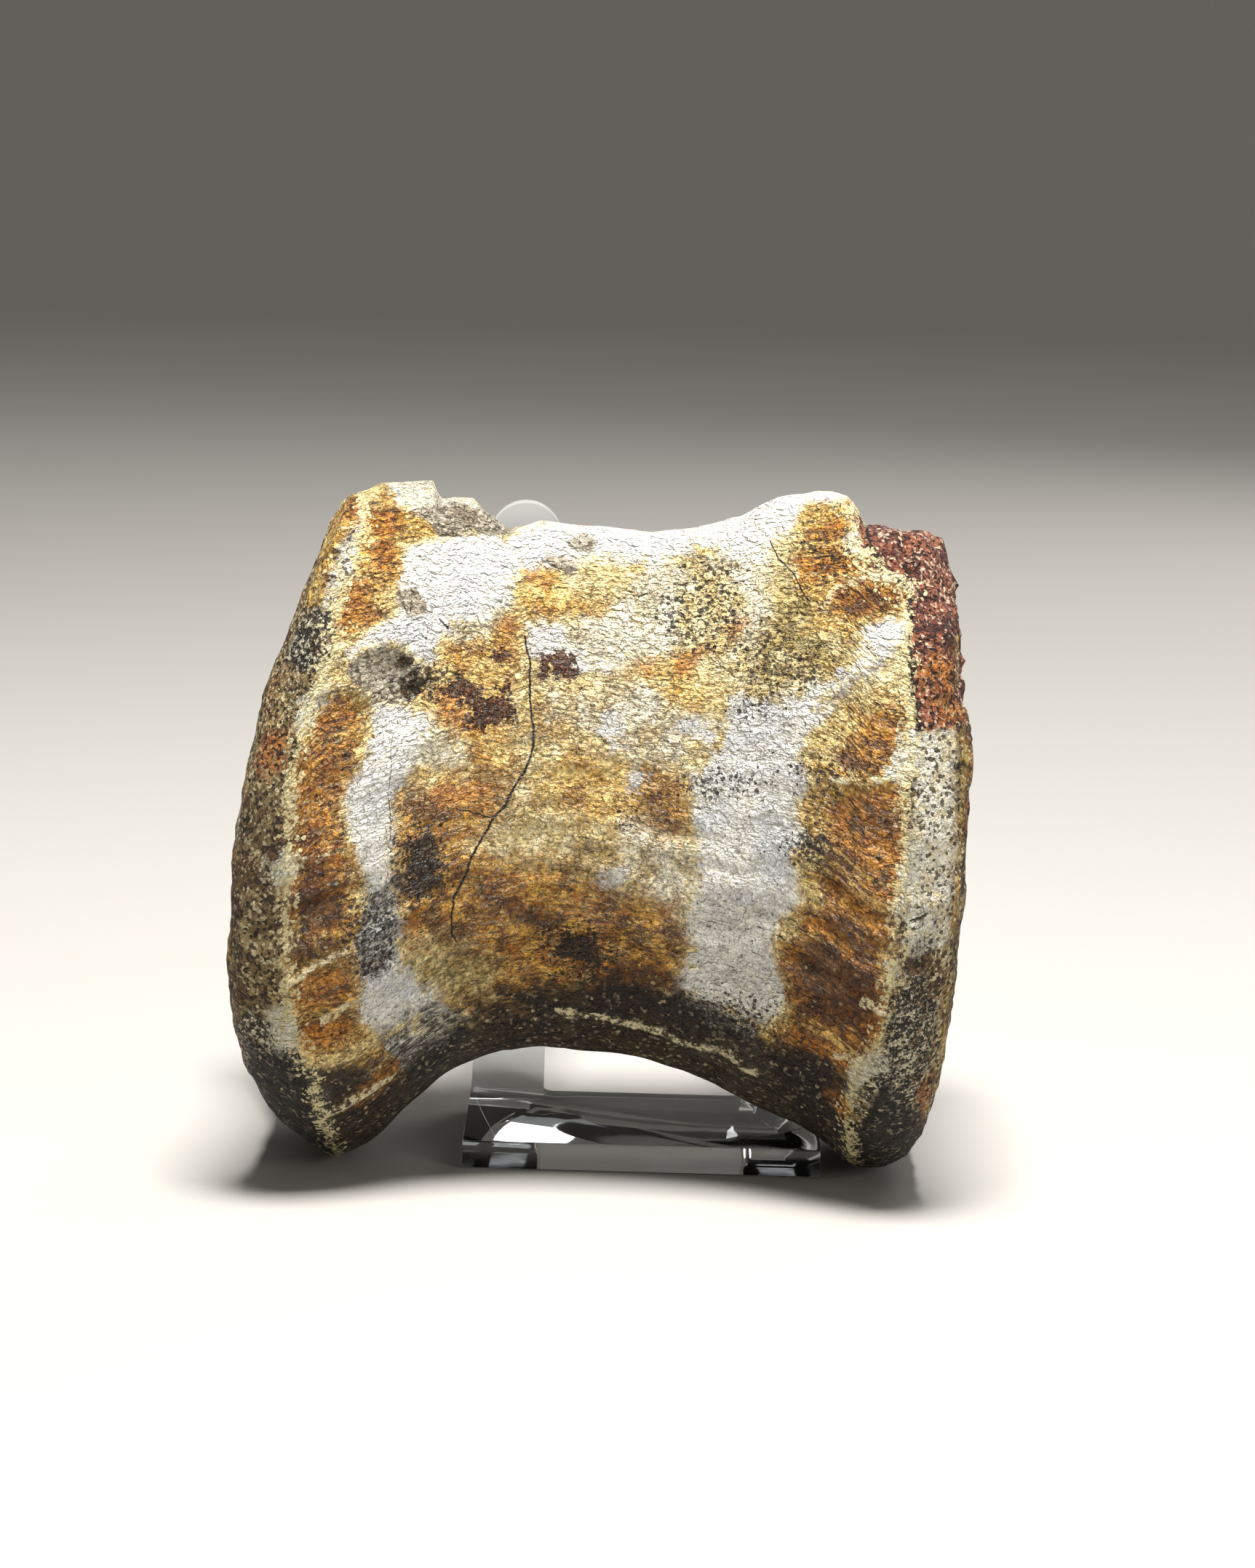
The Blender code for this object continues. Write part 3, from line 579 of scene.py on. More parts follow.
# bone material: mineralised bone skin, worn spongy rims and cemented sandstone
print("bone material")
boneLook = {
    # name: size in mm, detail, roughness, drawn along the bone or not
    "noises": {
        "mottle": (6.0, 4.0, 0.65, "inMm"),
        "patch": (2.2, 5.0, 0.70, "inMm"),
        "grain": (0.80, 4.0, 0.65, "inMm"),
        "fine": (0.34, 3.0, 0.60, "inMm"),
        "fibre": (0.60, 3.0, 0.70, "alongBone"),
        "streak": (0.40, 3.0, 0.75, "alongBone"),
        "fingers": (2.6, 4.0, 0.60, "alongFar"),
        "bumps": (1.5, 2.5, 0.60, "inMm"),
        "pores": (0.46, 3.0, 0.68, "inMm"),
        "dash": (0.44, 2.5, 0.60, "alongHalf"),
    },
    # name: base colour, then (noise, low, high, colour, strength) laid over it
    "coats": {
        "buff": ("#D6BD7E", [("patch", 0.45, 0.58, "#E3D5A8", 0.9), ("mottle", 0.52, 0.64, "#BF9A52", 0.7),
                             ("grain", 0.58, 0.66, "#A07D43", 0.5), ("streak", 0.57, 0.64, "#80602F", 0.5)]),
        "ochre": ("#CC983A", [("patch", 0.44, 0.55, "#E6C675", 0.9), ("mottle", 0.50, 0.60, "#B0701F", 0.7),
                              ("grain", 0.56, 0.64, "#8A5A20", 0.6), ("streak", 0.57, 0.63, "#664016", 0.55),
                              ("fine", 0.60, 0.66, "#E9D9A6", 0.6)]),
        "olive": ("#B2985A", [("patch", 0.45, 0.57, "#CFC08E", 0.9), ("mottle", 0.50, 0.62, "#97803F", 0.7),
                              ("grain", 0.55, 0.63, "#6F5A2E", 0.7), ("streak", 0.57, 0.63, "#5A441C", 0.6)]),
        "pale": ("#DCD2B2", [("patch", 0.46, 0.58, "#E8E3D0", 0.9), ("mottle", 0.52, 0.63, "#C5AC74", 0.8),
                             ("grain", 0.57, 0.64, "#A8966C", 0.6), ("streak", 0.58, 0.64, "#857247", 0.5)]),
        "deep": ("#AC6A18", [("patch", 0.45, 0.54, "#D9A23C", 0.9), ("fibre", 0.52, 0.57, "#5E300A", 0.8),
                             ("mottle", 0.53, 0.58, "#54290A", 0.8), ("streak", 0.56, 0.60, "#E6C27C", 0.8),
                             ("fine", 0.58, 0.62, "#241104", 0.75)]),
        "white": ("#E3E1D9", [("grain", 0.50, 0.62, "#C6C5BE", 0.5), ("mottle", 0.50, 0.62, "#CED3D8", 0.6),
                              ("patch", 0.56, 0.66, "#D2CAAE", 0.5), ("streak", 0.59, 0.65, "#8E8A7E", 0.4)]),
        "ash": ("#A5A399", [("grain", 0.46, 0.52, "#3A3730", 0.9), ("fine", 0.52, 0.56, "#0E0C0A", 0.95),
                            ("streak", 0.55, 0.59, "#DADAD4", 0.85)]),
        "gold": ("#BE9344", [("fingers", 0.49, 0.56, "#E0C681", 0.9), ("grain", 0.54, 0.60, "#744B18", 0.75),
                             ("streak", 0.56, 0.60, "#472808", 0.75), ("fine", 0.59, 0.63, "#EDDFB2", 0.7)]),
        "rust": ("#A46216", [("fingers", 0.49, 0.54, "#63380C", 0.85), ("patch", 0.48, 0.56, "#BF8430", 0.8),
                             ("fingers", 0.60, 0.63, "#DDB565", 0.8),
                             ("grain", 0.55, 0.60, "#421E05", 0.75), ("streak", 0.56, 0.60, "#2C1302", 0.8),
                             ("fibre", 0.57, 0.61, "#CF9640", 0.7)]),
        "umber": ("#4C2809", [("patch", 0.46, 0.58, "#74440F", 0.8), ("streak", 0.52, 0.60, "#1C0D04", 0.85)]),
        "chalk": ("#DDD6BC", [("grain", 0.48, 0.60, "#F0ECDC", 0.8), ("patch", 0.54, 0.62, "#B9A878", 0.8),
                              ("fine", 0.60, 0.66, "#4A3C28", 0.7)]),
        "blot": ("#2C1A0C", [("grain", 0.46, 0.52, "#0F0804", 0.9), ("fine", 0.58, 0.62, "#8A6430", 0.8)]),
        "maroon": ("#451A0B", [("grain", 0.49, 0.54, "#220B05", 0.9), ("fine", 0.58, 0.62, "#8F5A2C", 0.85)]),
        "flush": ("#C0741F", [("grain", 0.48, 0.60, "#CF9A50", 0.8), ("fine", 0.57, 0.63, "#6E350E", 0.7)]),
        "worn": ("#8B7247", [("patch", 0.47, 0.55, "#B39B68", 0.85), ("mottle", 0.51, 0.59, "#6B4623", 0.8),
                             ("sand", 0.82, 0.86, "#DDCFA6", 0.85), ("sand", 0.30, 0.26, "#271B11", 0.9),
                             ("fine", 0.60, 0.64, "#150E08", 0.8)]),
        "creamRim": ("#EEE7D0", [("patch", 0.48, 0.55, "#CFBB8A", 0.7), ("grain", 0.51, 0.57, "#F8F4E8", 0.8),
                                 ("mottle", 0.54, 0.62, "#B9B1A0", 0.6), ("sand", 0.20, 0.15, "#41382A", 0.9),
                                 ("fine", 0.61, 0.65, "#6A5836", 0.8)]),
        "yellowRim": ("#BC8B38", [("patch", 0.45, 0.57, "#DBB55E", 0.9), ("sand", 0.78, 0.84, "#ECDCA8", 0.8),
                                  ("sand", 0.22, 0.14, "#5E3A14", 0.8)]),
        "rustRim": ("#9A541E", [("patch", 0.46, 0.55, "#C27E36", 0.8), ("sand", 0.32, 0.26, "#2A1107", 0.92),
                                ("sand", 0.80, 0.86, "#C09360", 0.8)]),
        "darkRim": ("#241D15", [("grain", 0.49, 0.52, "#E0D6B6", 0.92), ("patch", 0.52, 0.58, "#6C5436", 0.8),
                                ("sand", 0.48, 0.42, "#0D0A07", 0.92), ("fine", 0.60, 0.63, "#E6DFC8", 0.8)]),
        "sandstone": ("#844B36", [("patch", 0.46, 0.54, "#A9694A", 0.85), ("mottle", 0.52, 0.59, "#5A2A25", 0.8),
                                  ("sand", 0.34, 0.28, "#210E0C", 0.92), ("sand", 0.82, 0.86, "#E2BFA2", 0.95),
                                  ("fine", 0.60, 0.64, "#1A0A08", 0.8)]),
        "pit": ("#ABA08A", [("sand", 0.66, 0.74, "#CBC1AC", 0.9), ("sand", 0.24, 0.18, "#4C4234", 0.8),
                            ("mottle", 0.52, 0.60, "#8E7B60", 0.6), ("fine", 0.60, 0.64, "#3A3126", 0.8)]),
        "dish": ("#7E6744", [("patch", 0.46, 0.56, "#9C8559", 0.85), ("mottle", 0.51, 0.60, "#5C4226", 0.8),
                             ("grain", 0.55, 0.60, "#3A2816", 0.85), ("sand", 0.86, 0.90, "#D8CBA4", 0.8)]),
        "scar": ("#96794A", [("patch", 0.46, 0.58, "#B9A478", 0.8), ("grain", 0.53, 0.60, "#43301A", 0.9),
                             ("mottle", 0.52, 0.62, "#74542A", 0.7)]),
        # near-black coat for the lowest edges and the underside: partly grime, partly painted shade
        "grime": ("#100B07", [("sand", 0.87, 0.91, "#8C8068", 0.6), ("patch", 0.54, 0.60, "#2A1D10", 0.7)]),
    },
    # order of the coats: name, half softness and raggedness in mm, strength
    "order": [
        ("ochre", 2.4, 9.0, 0.90), ("olive", 1.8, 8.0, 0.90), ("pale", 1.6, 8.0, 0.92), ("deep", 2.2, 11.0, 0.95),
        ("flush", 0.9, 6.0, 0.75), ("white", 1.0, 8.0, 0.96), ("ash", 0.9, 9.0, 0.94), ("gold", 0.5, 6.5, 0.95),
        ("rust", 0.8, 8.0, 0.95), ("umber", 1.2, 9.0, 0.90), ("scar", 0.4, 2.5, 1.0), ("pit", 0.25, 2.6, 1.0),
        ("blot", 0.5, 11.0, 0.97), ("maroon", 0.2, 8.0, 0.97), ("pastRim", 0.2, 3.4, 1.0),
        ("dish", 1.2, 6.0, 0.80),
        ("creamRim", 0.8, 6.0, 0.95), ("yellowRim", 0.8, 5.0, 0.95), ("darkRim", 0.8, 8.0, 0.95),
        ("chalk", 0.4, 7.0, 0.92), ("sandstone", 0.15, 4.0, 1.0), ("rustRim", 1.2, 8.0, 0.85),
    ],
    "onRimOnly": ("creamRim", "yellowRim", "rustRim", "darkRim", "sandstone"),
    # the ridge tone is partly cream, partly a painted highlight on the ridge tops
    "rimLine": "#DECF9C", "ridgeCreamAndHighlight": "#E6D9AE", "pore": "#1B1007", "crackDark": "#080402",
}


def boneMaterial(look):
    material = bpy.data.materials.new("permineralisedBone")
    material.use_nodes = True
    tree = material.node_tree
    shader = tree.nodes["Principled BSDF"]
    place = addNode(tree, "TexCoord", out="Object")
    drum = addNode(tree, "Attribute", out="Vector", attribute_name="drum")
    # in mm, so that a noise scale of 1 / size draws features of that size
    spaces = {
        "inMm": addNode(tree, "Mapping", {"Vector": place, "Scale": (1000, 1000, 1000)}),
        "alongBone": addNode(tree, "Mapping", {"Vector": drum, "Scale": (0.22, 1, 1)}),
        "alongHalf": addNode(tree, "Mapping", {"Vector": drum, "Scale": (0.7, 1, 1)}),
        "alongFar": addNode(tree, "Mapping", {"Vector": drum, "Scale": (0.08, 1, 1)}),
    }
    noises = {}
    for name, (size, detail, rough, space) in look["noises"].items():
        noises[name] = addNode(tree, "TexNoise", {"Vector": spaces[space], "Scale": 1 / size, "Detail": detail,
                                                  "Roughness": rough})
    # packed grains of sand, each with its own random tone
    cells = addNode(tree, "TexVoronoi", {"Vector": spaces["inMm"], "Scale": 1 / 0.42}, out="Color")
    noises["sand"] = addNode(tree, "SeparateColor", {0: cells})
    # small lumps of the skin, drawn out along the bone, with creases between them
    bend = addNode(tree, "TexNoise", {"Vector": spaces["inMm"], "Scale": 1 / 1.1, "Detail": 3.0}, out="Color")
    bend = addNode(tree, "VectorMath", {0: bend, 1: (0.5, 0.5, 0.5)}, operation="SUBTRACT")
    bend = addNode(tree, "VectorMath", {0: bend, "Scale": 1.9}, operation="SCALE")
    lumpPlace = addNode(tree, "VectorMath", {0: spaces["alongHalf"], 1: bend}, operation="ADD")
    crease = addNode(tree, "TexVoronoi", {"Vector": lumpPlace, "Scale": 1 / 1.05}, out="Distance",
                     feature="DISTANCE_TO_EDGE")
    # round pores, each cell with its own random size
    poreCell = addNode(tree, "TexVoronoi", {"Vector": spaces["inMm"], "Scale": 1 / 0.78}, out="Distance")
    poreChance = addNode(tree, "SeparateColor", {0: poreCell.node.outputs["Color"]})
    fringe = addNode(tree, "TexNoise", {"Vector": spaces["inMm"], "Scale": 1 / 1.9, "Detail": 4.5, "Roughness": 0.78})
    fringe = addNode(tree, "Math", {0: fringe, 1: 0.5}, operation="SUBTRACT")

    coats = {}
    for name, (base, overlays) in look["coats"].items():
        coat = addNode(tree, "RGB")
        coat.default_value = hexColor(base)
        for noiseName, low, high, tone, strength in overlays:
            mask = addNode(tree, "MapRange", {0: noises[noiseName], 1: low, 2: high, 3: 0.0, 4: strength})
            coat = addNode(tree, "Mix", {0: mask, 6: coat, 7: tone}, out=2, data_type="RGBA")
        coats[name] = coat
    coats["pastRim"] = coats["worn"]

    masks = {}
    color = coats["buff"]
    for name, soft, ragged, strength in look["order"]:
        field = addNode(tree, "Attribute", out="Fac", attribute_name=name)
        moved = addNode(tree, "Math", {0: fringe, 1: ragged, 2: field}, operation="MULTIPLY_ADD")
        mask = addNode(tree, "MapRange", {0: moved, 1: -soft, 2: soft, 3: 0.0, 4: strength},
                       interpolation_type="SMOOTHSTEP")
        if name in look["onRimOnly"]:
            mask = addNode(tree, "Math", {0: mask, 1: masks["pastRim"]}, operation="MULTIPLY")
        masks[name] = mask
        color = addNode(tree, "Mix", {0: mask, 6: color, 7: coats[name]}, out=2, data_type="RGBA")

    # pores, thickest in the peppered patches
    pepper = addNode(tree, "Attribute", out="Fac", attribute_name="pepper")
    pepper = addNode(tree, "MapRange", {0: pepper, 1: -1.4, 2: 1.0, 3: 0.0, 4: 0.56})
    chance = addNode(tree, "Math", {0: poreChance, 1: pepper}, operation="ADD")
    reach = addNode(tree, "MapRange", {0: chance, 1: 0.86, 2: 1.20, 3: 0.0, 4: 0.42})
    reach = addNode(tree, "Math", {0: noises["fine"], 1: 0.5, 2: reach}, operation="MULTIPLY_ADD")
    reach = addNode(tree, "Math", {0: reach, 1: poreCell}, operation="SUBTRACT")
    dots = addNode(tree, "MapRange", {0: reach, 1: 0.24, 2: 0.30, 3: 0.0, 4: 0.92})
    limit = addNode(tree, "Math", {0: pepper, 1: 0.20, 2: noises["pores"]}, operation="MULTIPLY_ADD")
    pores = addNode(tree, "MapRange", {0: limit, 1: 0.640, 2: 0.665, 3: 0.0, 4: 0.9})
    pores = addNode(tree, "Math", {0: pores, 1: dots}, operation="MAXIMUM")
    # painted shade in the creases between the skin's lumps, fainter on the white
    creaseShade = addNode(tree, "MapRange", {0: crease, 1: 0.075, 2: 0.025, 3: 0.0, 4: 1.0})
    shown = addNode(tree, "MapRange", {0: noises["mottle"], 1: 0.42, 2: 0.56, 3: 0.12, 4: 0.66})
    bare = addNode(tree, "MapRange", {0: masks["white"], 1: 0.0, 2: 0.9, 3: 1.0, 4: 0.38})
    shown = addNode(tree, "Math", {0: shown, 1: bare}, operation="MULTIPLY")
    creaseShade = addNode(tree, "Math", {0: creaseShade, 1: shown}, operation="MULTIPLY")
    pores = addNode(tree, "Math", {0: pores, 1: creaseShade}, operation="MAXIMUM")
    scored = addNode(tree, "Math", {0: masks["deep"], 1: 0.035, 2: noises["streak"]}, operation="MULTIPLY_ADD")
    streaks = addNode(tree, "MapRange", {0: scored, 1: 0.645, 2: 0.680, 3: 0.0, 4: 0.8})
    darkMarksAndShade = addNode(tree, "Math", {0: pores, 1: streaks}, operation="MAXIMUM")
    # no pores, creases or streaks on the top strip, part of its painted highlight
    field = addNode(tree, "Attribute", out="Fac", attribute_name="clean")
    kept = addNode(tree, "MapRange", {0: field, 1: -1.5, 2: 0.8, 3: 1.0, 4: 0.06})
    darkMarksAndShade = addNode(tree, "Math", {0: darkMarksAndShade, 1: kept}, operation="MULTIPLY")
    # pores and streaks, and the painted crease shade, in one dark tone
    color = addNode(tree, "Mix", {0: darkMarksAndShade, 6: color, 7: look["pore"]}, out=2, data_type="RGBA")

    # every coat darker in its hollows and paler on its grains: a painted shade and highlight on the fine relief, under
    # a cloudy tone
    gritAndShade = addNode(tree, "MapRange", {0: noises["fine"], 1: 0.36, 2: 0.64, 3: 0.84, 4: 1.20})
    cloud = addNode(tree, "MapRange", {0: noises["patch"], 1: 0.36, 2: 0.64, 3: 0.94, 4: 1.16})
    gritAndShade = addNode(tree, "Math", {0: gritAndShade, 1: cloud}, operation="MULTIPLY")
    # short dark and pale dashes, fainter on the white, the pits and the rims: the dark ones painted shade in their
    # hollows, the pale ones painted highlights on the raised parts between
    plainer = addNode(tree, "Math", {0: masks["white"], 1: masks["pit"]}, operation="MAXIMUM")
    plainer = addNode(tree, "Math", {0: plainer, 1: masks["pastRim"]}, operation="MAXIMUM")
    plainer = addNode(tree, "MapRange", {0: plainer, 1: 0.0, 2: 0.95, 3: 1.0, 4: 0.30})
    dashes = addNode(tree, "MapRange", {0: noises["dash"], 1: 0.38, 2: 0.62, 3: 0.34, 4: -0.38})
    dashes = addNode(tree, "Math", {0: dashes, 1: plainer, 2: 1.0}, operation="MULTIPLY_ADD")
    gritAndShade = addNode(tree, "Math", {0: gritAndShade, 1: dashes}, operation="MULTIPLY")
    # lighter on the crests of the end's raised rings and darker between them: painted light and shade on the rings
    ring = addNode(tree, "Attribute", out="Fac", attribute_name="ring")
    ring = addNode(tree, "MapRange", {0: ring, 1: -1.0, 2: 1.0, 3: 0.78, 4: 1.22})
    gritAndShade = addNode(tree, "Math", {0: gritAndShade, 1: ring}, operation="MULTIPLY")
    color = addNode(tree, "Mix", {0: 1.0, 6: color, 7: gritAndShade}, out=2, data_type="RGBA", blend_type="MULTIPLY")

    cracks = None
    for name, (width, _) in lines.items():
        field = addNode(tree, "Attribute", out="Fac", attribute_name=name)
        moved = addNode(tree, "Math", {0: fringe, 1: 0.8, 2: field}, operation="MULTIPLY_ADD")
        away = addNode(tree, "Math", {0: moved}, operation="ABSOLUTE")
        mask = addNode(tree, "MapRange", {0: away, 1: width * 1.5, 2: width * 0.6})
        cracks = mask if cracks is None else addNode(tree, "Math", {0: mask, 1: cracks}, operation="MAXIMUM")
    color = addNode(tree, "Mix", {0: cracks, 6: color, 7: look["crackDark"]}, out=2, data_type="RGBA")

    # near-black low down and under the bone: partly grime, partly a painted shade on the down-facing underside
    field = addNode(tree, "Attribute", out="Fac", attribute_name="grime")
    moved = addNode(tree, "Math", {0: fringe, 1: 4.0, 2: field}, operation="MULTIPLY_ADD")
    grime = addNode(tree, "MapRange", {0: moved, 1: -0.9, 2: 1.1, 3: 0.0, 4: 0.94}, interpolation_type="SMOOTHSTEP")
    color = addNode(tree, "Mix", {0: grime, 6: color, 7: coats["grime"]}, out=2, data_type="RGBA")

    # cream lines along the rims; pale lines on every raised rib, partly the ribs' cream and partly a painted highlight
    # on their tops, with a painted glint along the belly keel
    rimField = addNode(tree, "Attribute", out="Fac", attribute_name="pastRim")
    rimField = addNode(tree, "Math", {0: rimField, 1: 0.25}, operation="ADD")
    nearRim = addNode(tree, "Math", {0: rimField}, operation="ABSOLUTE")
    nearRim = addNode(tree, "MapRange", {0: nearRim, 1: 2.2, 2: 0.4, 3: 0.0, 4: 0.40})
    cluster = addNode(tree, "MapRange", {0: noises["mottle"], 1: 0.44, 2: 0.58, 3: 0.35, 4: 1.1})
    flecks = addNode(tree, "Math", {0: nearRim, 1: cluster, 2: noises["sand"]}, operation="MULTIPLY_ADD")
    flecks = addNode(tree, "MapRange", {0: flecks, 1: 0.98, 2: 1.02, 3: 0.0, 4: 0.9})
    color = addNode(tree, "Mix", {0: flecks, 6: color, 7: look["rimLine"]}, out=2, data_type="RGBA")
    paleLines = [(rimField, look["rimLine"], 0.55, 7.0, 0.9)]
    for name in ridges:
        ribField = addNode(tree, "Attribute", out="Fac", attribute_name=name)
        paleLines.append((ribField, look["ridgeCreamAndHighlight"], 0.55, 2.2, 0.9))
    for field, tone, width, ragged, strength in paleLines:
        moved = addNode(tree, "Math", {0: fringe, 1: ragged, 2: field}, operation="MULTIPLY_ADD")
        away = addNode(tree, "Math", {0: moved}, operation="ABSOLUTE")
        mask = addNode(tree, "MapRange", {0: away, 1: width, 2: width * 0.35, 3: 0.0, 4: strength},
                       interpolation_type="SMOOTHSTEP")
        broken = addNode(tree, "MapRange", {0: noises["grain"], 1: 0.57, 2: 0.49, 3: 0.05, 4: 1.0})
        mask = addNode(tree, "Math", {0: mask, 1: broken}, operation="MULTIPLY")
        color = addNode(tree, "Mix", {0: mask, 6: color, 7: tone}, out=2, data_type="RGBA")
    tree.links.new(color, shader.inputs["Base Color"])

    # semi-gloss skin, dull worn bone and sandstone
    dull = addNode(tree, "Math", {0: masks["pastRim"], 1: masks["scar"]}, operation="MAXIMUM")
    dull = addNode(tree, "Math", {0: dull, 1: masks["pit"]}, operation="MAXIMUM")
    skin = addNode(tree, "MapRange", {0: noises["grain"], 1: 0.35, 2: 0.65, 3: 0.34, 4: 0.58})
    rough = addNode(tree, "Math", {0: dull, 1: 0.28, 2: skin}, operation="MULTIPLY_ADD", use_clamp=True)
    tree.links.new(rough, shader.inputs["Roughness"])
    shader.inputs["IOR"].default_value = 1.55
    shader.inputs["Metallic"].default_value = 0.0
    shader.inputs["Specular IOR Level"].default_value = 0.35  # dust dulls the skin's shine

    # relief too fine for the mesh, in mm
    rounded = addNode(tree, "MapRange", {0: crease, 1: 0.0, 2: 0.30, 3: 0.0, 4: 0.30}, interpolation_type="SMOOTHSTEP")
    height = addNode(tree, "Math", {0: noises["bumps"], 1: 0.9, 2: rounded}, operation="MULTIPLY_ADD")
    for source, share in ((noises["fibre"], 0.75), (noises["streak"], 0.32), (noises["fine"], 0.22),
                          (noises["dash"], -0.34)):
        height = addNode(tree, "Math", {0: source, 1: share, 2: height}, operation="MULTIPLY_ADD")
    grains = addNode(tree, "Math", {0: noises["sand"], 1: 0.25, 2: noises["grain"]}, operation="MULTIPLY_ADD")
    coarse = addNode(tree, "Attribute", out="Fac", attribute_name="coarse")
    grains = addNode(tree, "Math", {0: grains, 1: coarse}, operation="MULTIPLY")
    height = addNode(tree, "Math", {0: grains, 1: 1.3, 2: height}, operation="MULTIPLY_ADD")
    bump = addNode(tree, "Bump", {"Height": height, "Distance": 0.001, "Strength": 1.0})
    tree.links.new(bump, shader.inputs["Normal"])
    return material


bone.data.materials.clear()
bone.data.materials.append(boneMaterial(boneLook))


# easel: one sheet of clear acrylic, laser cut to a U and line bent
print("easel")
easelSettings = {
    "tipSegments": 40,
    "bendSegments": 18,
    "edgeRound": 0.35 * mm,
    "prongWidth": 9.4 * mm,
    "thickness": 3.4 * mm,
    "plateDepth": 28.0 * mm,
    "bendRadius": 3.0 * mm,
    "lean": math.radians(22),
    "prongLength": 77.6 * mm,
    "underGap": 0.01 * mm,
    "fillet": 1.5 * mm,
}


def arcPoints(cx, cy, radius, start, stop, segments):
    return [(cx + radius * math.cos(a), cy + radius * math.sin(a)) for a in np.linspace(start, stop, segments + 1)]


def makeEasel(s):
    low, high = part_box("easel")
    half = (high.x - low.x) / 2
    centre = (high.x + low.x) / 2
    tip = s["prongWidth"] / 2
    turnFull = math.pi / 2 - s["lean"]
    bendLength = s["bendRadius"] * turnFull
    tipAt = s["plateDepth"] + bendLength + s["prongLength"] - tip
    slot = half - s["prongWidth"]
    corner = s["plateDepth"] + s["fillet"]
    outline = [(-half, 0.0), (half, 0.0)]
    outline += arcPoints(half - tip, tipAt, tip, 0, math.pi, s["tipSegments"])
    outline += arcPoints(slot - s["fillet"], corner, s["fillet"], 0, -math.pi / 2, 8)
    outline += arcPoints(s["fillet"] - slot, corner, s["fillet"], -math.pi / 2, -math.pi, 8)
    outline += arcPoints(tip - half, tipAt, tip, 0, math.pi, s["tipSegments"])
    shape = bmesh.new()
    shape.faces.new([shape.verts.new((x, t, 0)) for x, t in outline])
    for cut in np.linspace(s["plateDepth"], s["plateDepth"] + bendLength, s["bendSegments"]):
        geometry = list(shape.verts) + list(shape.edges) + list(shape.faces)
        bmesh.ops.bisect_plane(shape, geom=geometry, dist=1e-6, plane_co=(0, cut, 0), plane_no=(0, 1, 0))
    for v in shape.verts:
        t = v.co.y
        turn = min(max(t - s["plateDepth"], 0.0), bendLength) / s["bendRadius"]
        straight = max(t - s["plateDepth"] - bendLength, 0.0)
        y = min(t, s["plateDepth"]) + s["bendRadius"] * math.sin(turn) + straight * math.cos(turnFull)
        z = s["underGap"] + s["thickness"]
        z += s["bendRadius"] * (1 - math.cos(turn)) + straight * math.sin(turnFull)
        v.co = Vector((v.co.x + centre, low.y + y, z))
    mesh = bpy.data.meshes.new("easelSheet")
    shape.to_mesh(mesh)
    shape.free()
    easel = bpy.data.objects.new("easelSheet", mesh)
    bpy.context.scene.collection.objects.link(easel)
    solid = easel.modifiers.new("sheet", "SOLIDIFY")
    solid.thickness = s["thickness"]
    solid.offset = -1
    solid.use_even_offset = True
    rounding = easel.modifiers.new("polishedEdges", "BEVEL")
    rounding.width = s["edgeRound"]
    rounding.segments = 3
    rounding.limit_method = "ANGLE"
    rounding.angle_limit = math.radians(40)
    bpy.context.view_layer.update()
    done = bpy.data.meshes.new_from_object(easel.evaluated_get(bpy.context.evaluated_depsgraph_get()))
    easel.modifiers.clear()
    easel.data = done
    done.shade_smooth()
    done.set_sharp_from_angle(angle=math.radians(35))
    return easel


def acrylicMaterial():
    # cast acrylic sheet: clear and glossy, with faint rub marks that soften the reflections
    material = bpy.data.materials.new("castAcrylicSheet")
    material.use_nodes = True
    tree = material.node_tree
    shader = tree.nodes["Principled BSDF"]
    shader.inputs["Base Color"].default_value = hexColor("#F6F9FA")
    shader.inputs["Transmission Weight"].default_value = 1.0
    shader.inputs["IOR"].default_value = 1.49
    place = addNode(tree, "TexCoord", out="Object")
    rubs = addNode(tree, "TexNoise", {"Vector": place, "Scale": 90.0, "Detail": 4.0, "Roughness": 0.65})
    rough = addNode(tree, "MapRange", {0: rubs, 1: 0.45, 2: 0.75, 3: 0.012, 4: 0.09})
    tree.links.new(rough, shader.inputs["Roughness"])
    return material


easel = makeEasel(easelSettings)
easel.data.materials.clear()
easel.data.materials.append(acrylicMaterial())
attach(easel, "root")
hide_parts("easel")


# stage: pale floor that sweeps up all round, so that every side is seen against the same paper
print("stage")
stageSettings = {"flat": 1.6, "sweep": 0.9, "height": 2.4, "drop": 0.2 * mm, "color": "#B7B3AC"}


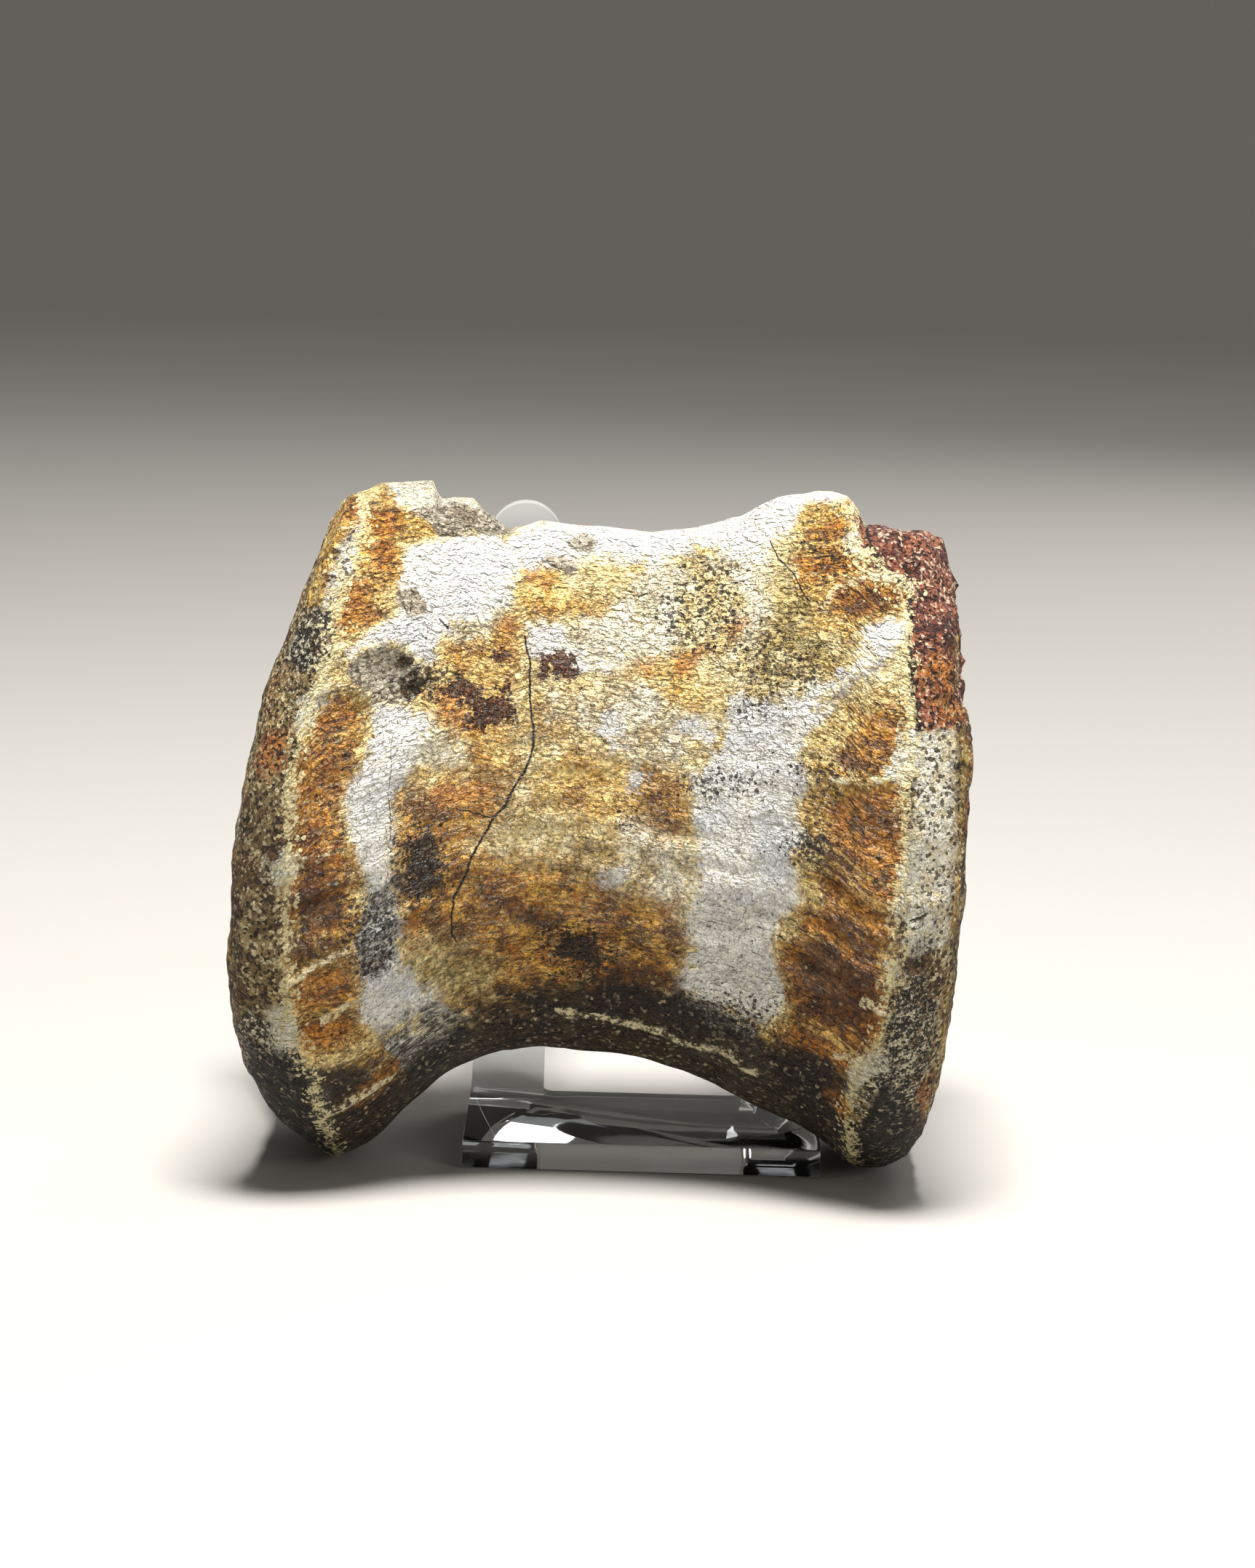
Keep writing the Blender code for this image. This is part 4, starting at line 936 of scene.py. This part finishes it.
def makeStage(s):
    profile = [(0.02, -s["drop"]), (s["flat"], -s["drop"])]
    profile += [(s["flat"] + s["sweep"] * math.sin(a), s["sweep"] * (1 - math.cos(a)) - s["drop"])
                for a in np.linspace(0, math.pi / 2, 24)[1:]]
    profile.append((s["flat"] + s["sweep"], s["height"]))
    turns = [2 * math.pi * i / 96 for i in range(96)]
    shape = bmesh.new()
    rows = [[shape.verts.new((r * math.cos(a), r * math.sin(a), z)) for a in turns] for r, z in profile]
    shape.faces.new(rows[0])
    for inner, outer in zip(rows, rows[1:]):
        for i in range(len(turns)):
            shape.faces.new((inner[i - 1], inner[i], outer[i], outer[i - 1]))
    mesh = bpy.data.meshes.new("sweep")
    bmesh.ops.recalc_face_normals(shape, faces=shape.faces)
    shape.to_mesh(mesh)
    shape.free()
    mesh.shade_smooth()
    sweep = bpy.data.objects.new("sweep", mesh)
    bpy.context.scene.collection.objects.link(sweep)
    paper = bpy.data.materials.new("mattePaper")
    paper.use_nodes = True
    shader = paper.node_tree.nodes["Principled BSDF"]
    shader.inputs["Base Color"].default_value = hexColor(s["color"])
    shader.inputs["Roughness"].default_value = 0.9
    mesh.materials.append(paper)


makeStage(stageSettings)


# soft studio light
print("lights")
lights = [
    # name, place, size, power in watts
    ("overheadSoftbox", (0.02, -0.18, 0.78), 0.24, 14.0),
    ("rightFill", (0.80, -0.75, 0.40), 0.5, 2.4),
    ("backRimLight", (0.35, 0.70, 0.45), 0.4, 1.8),
]


def makeLight(name, place, size, power):
    light = bpy.data.lights.new(name, "AREA")
    light.shape = "SQUARE"
    light.size = size
    light.energy = power
    lamp = bpy.data.objects.new(name, light)
    bpy.context.scene.collection.objects.link(lamp)
    lamp.location = place
    lamp.rotation_euler = (Vector((0, 0, 0.04)) - Vector(place)).to_track_quat("-Z", "Y").to_euler()


for settings in lights:
    makeLight(*settings)
world = bpy.data.worlds.new("studioAir")
bpy.context.scene.world = world
world.use_nodes = True
world.node_tree.nodes["Background"].inputs["Color"].default_value = hexColor("#F1F2F4")
world.node_tree.nodes["Background"].inputs["Strength"].default_value = 0.25

# colours shown as they are, without a film curve
bpy.context.scene.view_settings.view_transform = "Standard"
